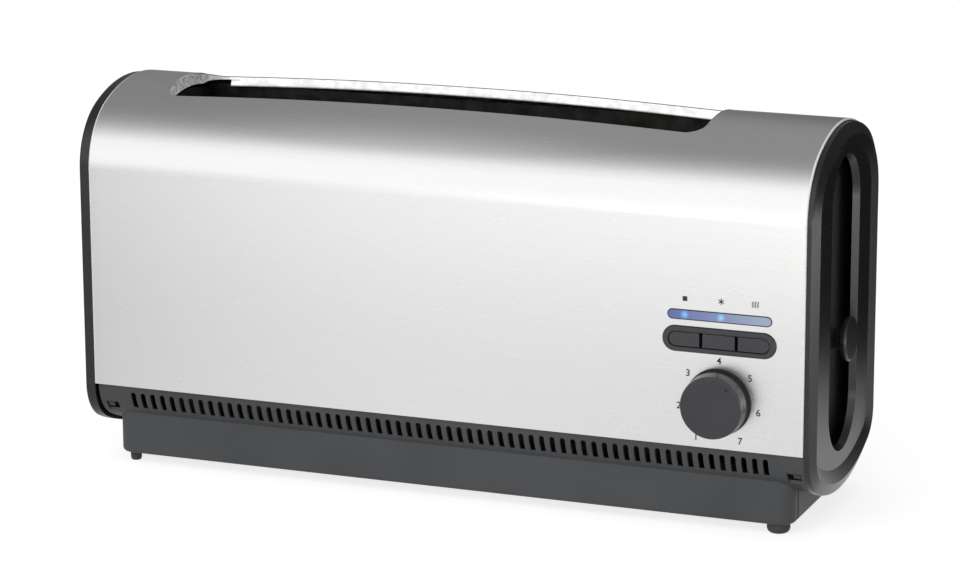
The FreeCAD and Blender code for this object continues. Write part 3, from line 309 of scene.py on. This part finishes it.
brushed_steel = new_finish("brushed_steel", (0.76, 0.76, 0.755), 1, 0.3)
streaks = grain(brushed_steel, 0.3 * MM, (36, 1, 1), 3, 0.6)
vary_colour(brushed_steel, streaks, (0.755, 0.755, 0.75), (0.775, 0.775, 0.77))
vary_roughness(brushed_steel, grain(brushed_steel, 1.1 * MM, (60, 1, 1), 3), 0.27, 0.3)
emboss(brushed_steel, streaks, 0.01 * MM, 0.03)
shader_of(brushed_steel).inputs["Anisotropic"].default_value = 0.5
shader_of(brushed_steel).inputs["Anisotropic Rotation"].default_value = 0.25
around = add_node(brushed_steel, "ShaderNodeTangent", direction_type="RADIAL", axis="X")
join(brushed_steel, around, "Tangent", shader_of(brushed_steel), "Tangent")
wrap.data.materials.append(brushed_steel)
# The rounded end edges get a near-white, barely metallic colour: a painted highlight along the hem.
painted_hem_highlight = new_finish("painted_hem_highlight", (0.92, 0.92, 0.92), 0.15, 0.5)
vary_colour(painted_hem_highlight, grain(painted_hem_highlight, 0.5 * MM), (0.86, 0.86, 0.86), (0.97, 0.97, 0.97))
wrap.data.materials.append(painted_hem_highlight)
for face in wrap.data.polygons:
    if abs(face.center.x - middle_x) > wrap_half_length - end_round and abs(face.normal.x) > 0.05:
        face.material_index = 1
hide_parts("steel_shell")
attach(wrap, "housing")


# Slot liner. A polished steel flange hangs in the slot's cut edge and rolls inwards to a narrow lip, so
# that a slice slides in without catching. Its left end, pressed round the corner, has its bright, mottled
# reflections painted in as a pale, barely metallic colour.
liner_gap = 0.05 * MM
liner_sheet = 0.45 * MM
liner_profile = ((0.15, 0.5), (0.2, 0.7), (0.25, 0.9), (0.3, 1.0), (0.4, 1.1), (0.35, 0.7), (0.15, 0.15))
liner_drop = 0.45 * MM
notch_end, notch_side, notch_depth = -146 * MM, 11 * MM, 1.2 * MM
painted_reflection_reach = slot_corner + 3 * MM


def roll_liner():
    """Slot outline stepped inwards and downwards from the cut edge, given a thickness, and swelled."""
    x = middle_x + slot_left + liner_gap, middle_x + slot_right - liner_gap
    y = middle_y - slot_half + liner_gap, middle_y + slot_half - liner_gap
    flange = bar("rolled_liner", x, y, (wrap_top - 10 * MM, wrap_top), 2, slot_corner - liner_gap, 12)
    bpy.ops.object.mode_set(mode="EDIT")
    pick(flange, "faces", lambda face: face.normal.z < 0.9)
    bpy.ops.mesh.delete(type="FACE")
    pick(flange, "faces", everything)
    for inward, downward in liner_profile:
        bpy.ops.mesh.inset(thickness=inward * MM, depth=-downward * MM, use_even_offset=True)
    bpy.ops.mesh.delete(type="FACE")
    for long_way in (True, False):
        pick(flange, "edges", lambda edge: edge.calc_length() > 20 * MM and long_way == (
            abs(edge.verts[0].co.x - edge.verts[1].co.x) > 20 * MM))
        bpy.ops.mesh.subdivide(number_cuts=40 if long_way else 12)
    bpy.ops.object.mode_set(mode="OBJECT")
    top = max(vertex.co.z for vertex in flange.data.vertices)
    for vertex in flange.data.vertices:
        vertex.co.z += arch_height(vertex.co.x, vertex.co.y) - top - liner_drop
    apply_modifier(flange, "SOLIDIFY", thickness=liner_sheet, offset=-1)
    level = arch_height(middle_x + slot_left, middle_y + slot_half)
    punch(flange, bar("notch_tool", (middle_x + slot_left - 2 * MM, middle_x + notch_end),
                      (middle_y + notch_side, middle_y + slot_half + 2 * MM),
                      (level - 20 * MM, level - notch_depth), 2, 0.8 * MM))
    return flange


liner = roll_liner()
smooth(liner)
polished_steel = new_finish("polished_steel", (0.85, 0.85, 0.84), 1, 0.2)
swirls = grain(polished_steel, 3 * MM, (1.6, 1, 1), 1)
vary_colour(polished_steel, swirls, (0.72, 0.72, 0.72), (0.9, 0.9, 0.89))
vary_roughness(polished_steel, grain(polished_steel, 1.5 * MM, (8, 1, 1)), 0.18, 0.28)
emboss(polished_steel, swirls, 0.3 * MM, 0.4)
liner.data.materials.append(polished_steel)
# Painted reflection: a pale, mottled, barely metallic colour stands in for the left end's bright reflections.
painted_reflection_steel = new_finish("painted_reflection_steel", (0.85, 0.85, 0.84), 0.2, 0.3)
dents_and_painted_mottle = grain(painted_reflection_steel, 2.4 * MM, (1.3, 1, 1), 1)
vary_colour(painted_reflection_steel, dents_and_painted_mottle, (0.55, 0.55, 0.54), (1, 1, 0.99))
emboss(painted_reflection_steel, dents_and_painted_mottle, 0.5 * MM, 0.6)
liner.data.materials.append(painted_reflection_steel)
for face in liner.data.polygons:
    if face.center.x < middle_x + slot_left + painted_reflection_reach:
        face.material_index = 1
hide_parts("slot_liner")
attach(liner, "housing")


# End caps. Two mouldings of dark grey plastic with a fine sparked grain close the ends of the wrap.
# They snap into the base, and the lever's window is moulded in the right-hand one.
def moulded(name, colour, roughness, grain_size, depth, contrast=0.1):
    """Matt moulded plastic with a fine sparked grain and a slow, slight change of tone."""
    finish = new_finish(name, colour, 0, roughness)
    fine = grain(finish, grain_size, detail=3)
    slow = grain(finish, 40 * MM, detail=2)
    dark, light = ([part * (1 + change) for part in colour] for change in (-contrast, contrast))
    vary_colour(finish, slow, dark, light)
    vary_roughness(finish, fine, roughness - 0.06, roughness + 0.06)
    emboss(finish, fine, depth, 0.5)
    return finish


cap_plastic = moulded("cap_plastic", (0.012, 0.0122, 0.0137), 0.27, 0.35 * MM, 0.003 * MM)
dress(cap_plastic, "end_cap_left", "end_cap_right")


# Base. A vented oval band under the wrap narrows into a flat plinth, moulded in one piece of grey
# plastic. The crumb tray's grip at the rear and the cord's gland are moulded in the same plastic.
base_plastic = moulded("base_plastic", (0.054, 0.056, 0.059), 0.52, 0.4 * MM, 0.02 * MM)
dress(base_plastic, "base_housing", "cord_gland", "tray_grip")


# Feet. Two turned rubber feet at the lever's end and two slim moulded pegs at the other.
foot_rubber = moulded("foot_rubber", (0.05, 0.05, 0.051), 0.7, 0.5 * MM, 0.03 * MM)
dress(foot_rubber, "rubber_foot_front", "rubber_foot_rear", "peg_foot_front", "peg_foot_rear")


# Toasting chamber. Steel sheets close its ends and sides, with mica boards that carry flat heating ribbons,
# and plated wire guides and rack hold the bread. The sheets are near-black: painted shade for the dark inside
# of the slot.
def sheet_metal(name, colour, roughness, length, spots=0.12):
    """Rolled metal sheet or wire with fine lines and cloudy tone."""
    finish = new_finish(name, colour, 1, roughness)
    clouds = grain(finish, 9 * MM, detail=4)
    dark, light = ([part * (1 + change) for part in colour] for change in (-spots, spots))
    vary_colour(finish, clouds, dark, light)
    vary_roughness(finish, grain(finish, 0.5 * MM, (length, 1, 1)), roughness - 0.08, roughness + 0.08)
    emboss(finish, clouds, 0.05 * MM, 0.3)
    return finish


# Near-black sheet steel: painted shade for the dark inside of the slot.
chamber_steel = sheet_metal("chamber_steel", (0.06, 0.056, 0.052), 0.5, 20, 0.35)
dress(chamber_steel, "chamber_end_left", "chamber_end_right", "reflector_front", "reflector_rear")
wire_steel = sheet_metal("wire_steel", (0.5, 0.49, 0.47), 0.35, 12)
dress(wire_steel, "bread_guide_front", "bread_guide_rear", "bread_rack")
mica = moulded("mica", (0.2, 0.175, 0.135), 0.5, 2.5 * MM, 0.05 * MM, 0.3)
dress(mica, "mica_board_front", "mica_board_rear")
ribbon_metal = sheet_metal("ribbon_metal", (0.38, 0.36, 0.33), 0.4, 30, 0.25)
dress(ribbon_metal, "heating_ribbon_front", "heating_ribbon_rear")


# Lift. A nylon carriage slides on two zinc-plated rods and carries the rack, the armature and the
# contact bar; a pull spring lifts it. All of it stays behind the black plate of the lever's window.
nylon = moulded("nylon", (0.55, 0.53, 0.48), 0.45, 0.6 * MM, 0.02 * MM)
dress(nylon, "lift_carriage")
zinc_steel = sheet_metal("zinc_steel", (0.55, 0.55, 0.53), 0.32, 6)
dress(zinc_steel, "guide_rods", "rod_bracket", "lift_spring", "armature_plate", "magnet_core", "board_screws",
      "crumb_tray", "dial_spindle")
copper = sheet_metal("copper", (0.72, 0.36, 0.2), 0.3, 4)
dress(copper, "magnet_coil", "contact_bridge", "mains_contacts")
black_plate = moulded("black_plate", (0.012, 0.012, 0.013), 0.55, 0.6 * MM, 0.02 * MM)
dress(black_plate, "lever_guide_plate")


# Lever. A steel arm passes the slit and carries a turned knob of dark plastic with a soft rim.
dress(cap_plastic, "lever_knob")
dark_parts = moulded("dark_parts", (0.03, 0.03, 0.032), 0.45, 0.5 * MM, 0.02 * MM)
dress(dark_parts, "lever_arm", "board_parts", "terminal_block", "timer_control", "panel_frame", "key_switches")


# Browning dial. A deep cap of dark plastic turns before a thin collar on the wall. The rear of its side,
# next to the wall, and the collar are matt black: painted shade round the dial.
# The dial's side turns matt black towards the wall: painted shade.
painted_shade_front, painted_shade_rear = -56.6 * MM, -54.6 * MM
painted_shade_black, painted_shade_roughness = (0.002, 0.002, 0.002, 1), 0.95
dial_plastic = moulded("dial_plastic", (0.03, 0.0315, 0.035), 0.27, 0.4 * MM, 0.003 * MM)
dial_place = add_node(dial_plastic, "ShaderNodeTexCoord")
dial_split = add_node(dial_plastic, "ShaderNodeSeparateXYZ")
painted_shade_share = add_node(dial_plastic, "ShaderNodeMapRange", {"From Min": painted_shade_front, "From Max": painted_shade_rear})
join(dial_plastic, dial_place, "Object", dial_split, "Vector")
join(dial_plastic, dial_split, "Y", painted_shade_share, "Value")


def fade_to(finish, share, socket, value, kind, first, second, result):
    """Fade what drives a socket of the shader over to one value; the numbers are the Mix node's sockets."""
    varied = shader_of(finish).inputs[socket].links[0].from_socket
    blend = add_node(finish, "ShaderNodeMix", data_type=kind)
    finish.node_tree.links.new(varied, blend.inputs[first])
    blend.inputs[second].default_value = value
    join(finish, share, "Result", blend, 0)
    join(finish, blend, result, shader_of(finish), socket)


fade_to(dial_plastic, painted_shade_share, "Base Color", painted_shade_black, "RGBA", 6, 7, 2)
fade_to(dial_plastic, painted_shade_share, "Roughness", painted_shade_roughness, "FLOAT", 2, 3, 0)
# The collar is matt black as painted shade.
dress(black_plate, "dial_collar")
dress(dial_plastic, "timer_dial")


# Circuit boards behind the front wall and in the base.
board_laminate = moulded("board_laminate", (0.05, 0.16, 0.07), 0.4, 1.2 * MM, 0.02 * MM, 0.2)
dress(board_laminate, "power_board", "control_board")


# Keys and their bezel, in near-black plastic with a soft sheen.
bezel_plastic = moulded("bezel_plastic", (0.034, 0.035, 0.039), 0.36, 0.4 * MM, 0.005 * MM)
dress(bezel_plastic, "key_bezel", "stop_key", "defrost_key", "reheat_key")


def seal_ring(name, z, length, height, thick):
    """Flat black ring on the front wall round an opening."""
    both_sides = 0.9 * MM
    ring_piece = stadium(name, panel_x, z, length, height, (front_y - thick, front_y + 0.4 * MM))
    punch(ring_piece, stadium(f"{name}_tool", panel_x, z, length - both_sides, height - both_sides,
                        (front_y - 2 * MM, front_y + 2 * MM)))
    smooth(ring_piece)
    ring_piece.data.materials.append(black_plate)
    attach(ring_piece, "housing")


# A thin black ring round the bezel: painted shadow in the gap between bezel and wall.
seal_ring("bezel_painted_shadow", keys_z + 0.05 * MM, 55.8 * MM, 12.6 * MM, 0.1 * MM)


# Lamps and their window. A tinted strip lies flush in the wall, violet at its left and greyer at its
# right; behind it two of the three lamps glow, as after the lever is pressed down.
lamp_places = (126.5 * MM, 144.2 * MM, 160.8 * MM)
lamp_reach, lamp_strength = 2.6 * MM, 0.57
strip_half = 25 * MM


def glow_over(finish, x):
    """Share of a lamp's glow over the strip: all of it at the lamp, none beyond its reach."""
    place = add_node(finish, "ShaderNodeTexCoord")
    away = add_node(finish, "ShaderNodeVectorMath", operation="DISTANCE")
    away.inputs[1].default_value = (middle_x + x, front_y, window_z)
    span = {"From Min": 0, "From Max": lamp_reach, "To Min": 1, "To Max": 0}
    share = add_node(finish, "ShaderNodeMapRange", span, interpolation_type="SMOOTHSTEP")
    join(finish, place, "Object", away, 0)
    join(finish, away, "Value", share, "Value")
    return share


window_resin = new_finish("window_resin", (0.16, 0.26, 0.5), 0, 0.22)
along_strip = add_node(window_resin, "ShaderNodeTexCoord")
split_strip = add_node(window_resin, "ShaderNodeSeparateXYZ")
strip_share = add_node(window_resin, "ShaderNodeMapRange",
                       {"From Min": panel_x - strip_half, "From Max": panel_x + strip_half})
join(window_resin, along_strip, "Object", split_strip, "Vector")
join(window_resin, split_strip, "X", strip_share, "Value")
vary_colour(window_resin, strip_share, (0.13, 0.17, 0.47), (0.42, 0.5, 0.65), 0, 1, "Result")
both_glows = add_node(window_resin, "ShaderNodeMath", operation="ADD")
for index in range(2):
    join(window_resin, glow_over(window_resin, lamp_places[index]), "Result", both_glows, index)
glow_strength = add_node(window_resin, "ShaderNodeMath", operation="MULTIPLY")
glow_strength.inputs[1].default_value = lamp_strength
join(window_resin, both_glows, "Value", glow_strength, 0)
join(window_resin, glow_strength, "Value", shader_of(window_resin), "Emission Strength")
shader_of(window_resin).inputs["Emission Color"].default_value = (0.12, 0.62, 1, 1)
dress(window_resin, "lamp_window")
# A thin black ring outlines the strip on the wall.
seal_ring("window_dark_outline", window_z, 51.2 * MM, 5 * MM, 0.12 * MM)
lamp_resin = moulded("lamp_resin", (0.5, 0.7, 0.8), 0.3, 1 * MM, 0.01 * MM)
dress(lamp_resin, "indicator_lamps")


# Print on the steel. Digits 1 to 7 stand round the dial, and a plain pictogram over each lamp says what
# its key does: a square to stop, a star to defrost, three waves to reheat.
ink_thickness = 0.05 * MM
digit_size, digit_swell = 4.6664 * MM, 0.07 * MM
digit_ring = ((1, -149, 21.1), (2, -100, 19.8), (3, -50, 19.8), (4, 0, 19.8), (5, 50, 19.8),
              (6, 100, 19.8), (7, 149, 21.1))
pictogram_z = 113.85 * MM
square_side = 2.3 * MM
ray_length, ray_width = 3.1 * MM, 0.46 * MM
wave_length, wave_width, wave_height, wave_pitch = 3 * MM, 0.54 * MM, 0.3 * MM, 1.25 * MM
ink = moulded("print_ink", (0.018, 0.0185, 0.02), 0.5, 0.3 * MM, 0.004 * MM)


def print_on_wall(piece):
    """Give a printed mark its ink; it belongs to the front wall."""
    piece.data.materials.clear()
    piece.data.materials.append(ink)
    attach(piece, "housing")


def print_digit(digit, x, z):
    """Digit as a thin mesh on the wall, centred over a point."""
    bpy.ops.object.select_all(action="DESELECT")
    bpy.ops.object.text_add(location=(0, 0, 0), rotation=(math.pi / 2, 0, 0))
    mark = bpy.context.object
    mark.name = f"digit_{digit}"
    mark.data.body = str(digit)
    mark.data.size = digit_size
    mark.data.offset = digit_swell
    mark.data.extrude = ink_thickness
    bpy.ops.object.convert(target="MESH")
    bpy.ops.object.transform_apply(location=True, rotation=True, scale=True)
    spots = [vertex.co for vertex in mark.data.vertices]
    shift = Vector((x - (min(spot.x for spot in spots) + max(spot.x for spot in spots)) / 2, front_y,
                    z - (min(spot.z for spot in spots) + max(spot.z for spot in spots)) / 2))
    for vertex in mark.data.vertices:
        vertex.co += shift
    print_on_wall(mark)


def print_stroke(name, x, z, length, width, angle, wave=0):
    """Straight or waving stroke, thin, centred over a point and turned in the wall's plane."""
    stroke = start_piece(name, bpy.ops.mesh.primitive_grid_add, x_subdivisions=24, y_subdivisions=1, size=1,
                         scale=(length, width, 1))
    bpy.ops.object.mode_set(mode="OBJECT")
    turned = math.radians(angle)
    for vertex in stroke.data.vertices:
        right = vertex.co.x
        up = vertex.co.y + wave * math.sin(right / length * 4 * math.pi)
        vertex.co = (x + right * math.cos(turned) - up * math.sin(turned), front_y + ink_thickness,
                     z + right * math.sin(turned) + up * math.cos(turned))
    apply_modifier(stroke, "SOLIDIFY", thickness=2 * ink_thickness, offset=1)
    print_on_wall(stroke)


for digit, angle, reach in digit_ring:
    print_digit(digit, panel_x + reach * MM * math.sin(math.radians(angle)),
                dial_z + reach * MM * math.cos(math.radians(angle)))
square_x, star_x, waves_x = (middle_x + place for place in lamp_places)
print_stroke("stop_square", square_x, pictogram_z, square_side, square_side, 0)
for index in range(3):
    print_stroke(f"defrost_ray_{index}", star_x, pictogram_z, ray_length, ray_width, 30 + 60 * index)
    print_stroke(f"reheat_wave_{index}", waves_x + (index - 1) * wave_pitch, pictogram_z, wave_length,
                 wave_width, 90, wave_height)


# Table, studio and camera. A pale table keeps a soft shadow. The room is white in front of the toaster
# and falls off to grey overhead and behind; what the steel mirrors of the table is graded to go with it.
room_white = 1.31
room_tones = ((-1, 0.24), (-0.7, 0.33), (-0.13, 0.34), (0.03, 0.36), (0.17, 0.43), (0.3, 0.54), (0.42, 0.71),
              (0.52, 0.9), (0.585, 1.07), (0.65, 1.2), (0.7, 1.26), (0.75, 1.29), (1, room_white))
left_tones = ((-1, 0.2), (-0.7, 0.24), (-0.13, 0.26), (0.03, 0.29), (0.16, 0.34), (0.28, 0.37), (0.38, 0.48),
              (0.48, 0.63), (0.55, 0.87), (0.62, 1.12), (0.67, 1.25), (1, 1.27))
left_side = {"From Min": -0.46, "From Max": -0.37}
dark_corner = Vector((0.45, 0.89, 0))
corner_fade = {"From Min": 0.62, "From Max": 0.85, "To Min": 1, "To Max": 0.3}
table_peak = 2.8
table_reach = 0.7
table_skew = 0.4
table_tones = ((-0.7, 0.45), (-0.34, 0.45), (-0.24, 0.65), (-0.17, 0.77), (-0.1, 0.85), (0, 0.91), (0.08, 0.89),
               (0.2, 0.85), (0.42, 0.8), (0.52, 1.2), (0.64, table_peak), (0.7, table_peak))
table_paint, table_seen = 0.4, 0.78


def fill_ramp(ramp, tones, reach, peak):
    """Grey steps of a ramp, whose places run from minus to plus the reach."""
    steps = ramp.color_ramp.elements
    for _ in range(len(tones) - 2):
        steps.new(0.5)
    for step, (place, tone) in zip(steps, tones):
        step.position = (place + reach) / (2 * reach)
        step.color = (*[tone / peak] * 3, 1)


def start_world():
    """Radiance of the room as ramps over how far a direction looks towards the front, darker at a corner."""
    world = bpy.data.worlds.new("studio")
    bpy.context.scene.world = world
    world.use_nodes = True
    nodes, links = world.node_tree.nodes, world.node_tree.links

    def node(kind, operation=None, second=None, sockets=None):
        made = nodes.new(kind)
        if operation:
            made.operation = operation
        if second is not None:
            made.inputs[1].default_value = second
        for name, value in (sockets or {}).items():
            made.inputs[name].default_value = value
        return made

    def link(one, out, other, into):
        links.new(one.outputs[out], other.inputs[into])

    toward = node("ShaderNodeTexCoord")
    forward = node("ShaderNodeVectorMath", "DOT_PRODUCT", (0, -0.5, 0))
    share = node("ShaderNodeMath", "ADD", 0.5)
    split = node("ShaderNodeSeparateXYZ")
    left = node("ShaderNodeMapRange", sockets=left_side)
    mix = node("ShaderNodeMix")
    corner = node("ShaderNodeVectorMath", "DOT_PRODUCT", dark_corner)
    dark = node("ShaderNodeMapRange", sockets=corner_fade)
    shaded = node("ShaderNodeMath", "MULTIPLY")
    for into in (corner, split, forward):
        link(toward, "Generated", into, 0)
    link(forward, "Value", share, 0)
    for tones, into in ((left_tones, "A"), (room_tones, "B")):
        ramp = node("ShaderNodeValToRGB")
        fill_ramp(ramp, tones, 1, room_white)
        link(share, "Value", ramp, "Fac")
        link(ramp, "Color", mix, into)
    link(split, "X", left, "Value")
    link(left, "Result", mix, "Factor")
    link(corner, "Value", dark, "Value")
    link(mix, "Result", shaded, 0)
    link(dark, "Result", shaded, 1)
    link(shaded, "Value", nodes["Background"], "Color")
    nodes["Background"].inputs["Strength"].default_value = room_white


start_world()
bpy.ops.object.select_all(action="DESELECT")
bpy.ops.mesh.primitive_plane_add(size=16, location=(0, 0, 0))
table = bpy.context.object
table.name = "studio_table"
table_finish = new_finish("table_white", (table_paint, table_paint, table_paint), 0, 0.8)
rays = add_node(table_finish, "ShaderNodeLightPath")
paint = add_node(table_finish, "ShaderNodeMapRange", {"To Min": table_paint, "To Max": 0})
join(table_finish, rays, "Is Glossy Ray", paint, "Value")
join(table_finish, paint, "Result", shader_of(table_finish), "Base Color")
spot = add_node(table_finish, "ShaderNodeTexCoord")
split = add_node(table_finish, "ShaderNodeSeparateXYZ")
join(table_finish, spot, "Object", split, "Vector")


def spread(low, high, low_value, high_value, node, out):
    """Value that moves from one to another as another node's output does."""
    made = add_node(table_finish, "ShaderNodeMapRange",
                    {"From Min": low, "From Max": high, "To Min": low_value, "To Max": high_value})
    join(table_finish, node, out, made, "Value")
    return made, "Result"


def combine(operation, one, other):
    """One value from two, each a node and its output, or a number."""
    made = add_node(table_finish, "ShaderNodeMath", operation=operation)
    for index, part in enumerate((one, other)):
        if isinstance(part, tuple):
            join(table_finish, *part, made, index)
        else:
            made.inputs[index].default_value = part
    return made, "Value"


across = add_node(table_finish, "ShaderNodeValToRGB")
fill_ramp(across, table_tones, table_reach, table_peak)
skewed = combine("SUBTRACT", (split, "X"), combine("MULTIPLY", (split, "Y"), table_skew))
join(table_finish, *spread(-table_reach, table_reach, 0, 1, *skewed), across, "Fac")
outward = spread(-0.72, -0.36, 1.34, 1, split, "Y")
outward[0].interpolation_type = "SMOOTHSTEP"
slant = combine("SUBTRACT", (split, "Y"), combine("MULTIPLY", (split, "X"), table_skew))
behind = combine("MAXIMUM", spread(0.02, 0.2, 1, 0, *slant), spread(-0.05, 0.15, 1, 0, split, "X"))
toned = combine("MULTIPLY", (across, "Color"), table_peak)
mirrored = combine("MULTIPLY", combine("MULTIPLY", toned, combine("MULTIPLY", outward, behind)),
                   (rays, "Is Glossy Ray"))
watched = combine("MAXIMUM", (rays, "Is Camera Ray"), (rays, "Is Transmission Ray"))
seen = combine("MULTIPLY", watched, table_seen)
join(table_finish, *combine("ADD", mirrored, seen), shader_of(table_finish), "Emission Strength")
shader_of(table_finish).inputs["Emission Color"].default_value = (1, 1, 1, 1)
table.data.materials.append(table_finish)


def add_softbox(name, place, aim, size, power):
    """Square area lamp that looks at a point."""
    lamp = bpy.data.lights.new(name, "AREA")
    lamp.size = size
    lamp.energy = power
    holder = bpy.data.objects.new(name, lamp)
    bpy.context.scene.collection.objects.link(holder)
    holder.location = place
    holder.rotation_euler = (Vector(aim) - Vector(place)).to_track_quat("-Z", "Y").to_euler()
    holder.visible_glossy = False


add_softbox("key_softbox", (-0.5, -1.9, 1.5), (0, 0, 0.1), 1.2, 9)
add_softbox("top_softbox", (-0.2, 0.1, 2.2), (0, 0, 0.1), 1.8, 8)

azimuth, elevation, roll = math.radians(21.73), math.radians(13.77), -0.0036
level = math.cos(elevation)
back = Vector((math.sin(azimuth) * level, -math.cos(azimuth) * level, math.sin(elevation)))
right = Vector((math.cos(azimuth), math.sin(azimuth), 0))
upward = back.cross(right)
rolled_right = right * math.cos(roll) + upward * math.sin(roll)
rolled_up = upward * math.cos(roll) - right * math.sin(roll)
view = bpy.data.cameras.new("camera")
view.sensor_width = 36
view.lens = 133.11
view.clip_end = 100
camera = bpy.data.objects.new("camera", view)
bpy.context.scene.collection.objects.link(camera)
camera.matrix_world = Matrix.Translation((632.0 * MM, -1576.5 * MM, 510.1 * MM)) @ Matrix(
    (rolled_right, rolled_up, back)).transposed().to_4x4()
bpy.context.scene.camera = camera
bpy.context.scene.view_settings.view_transform = "Standard"
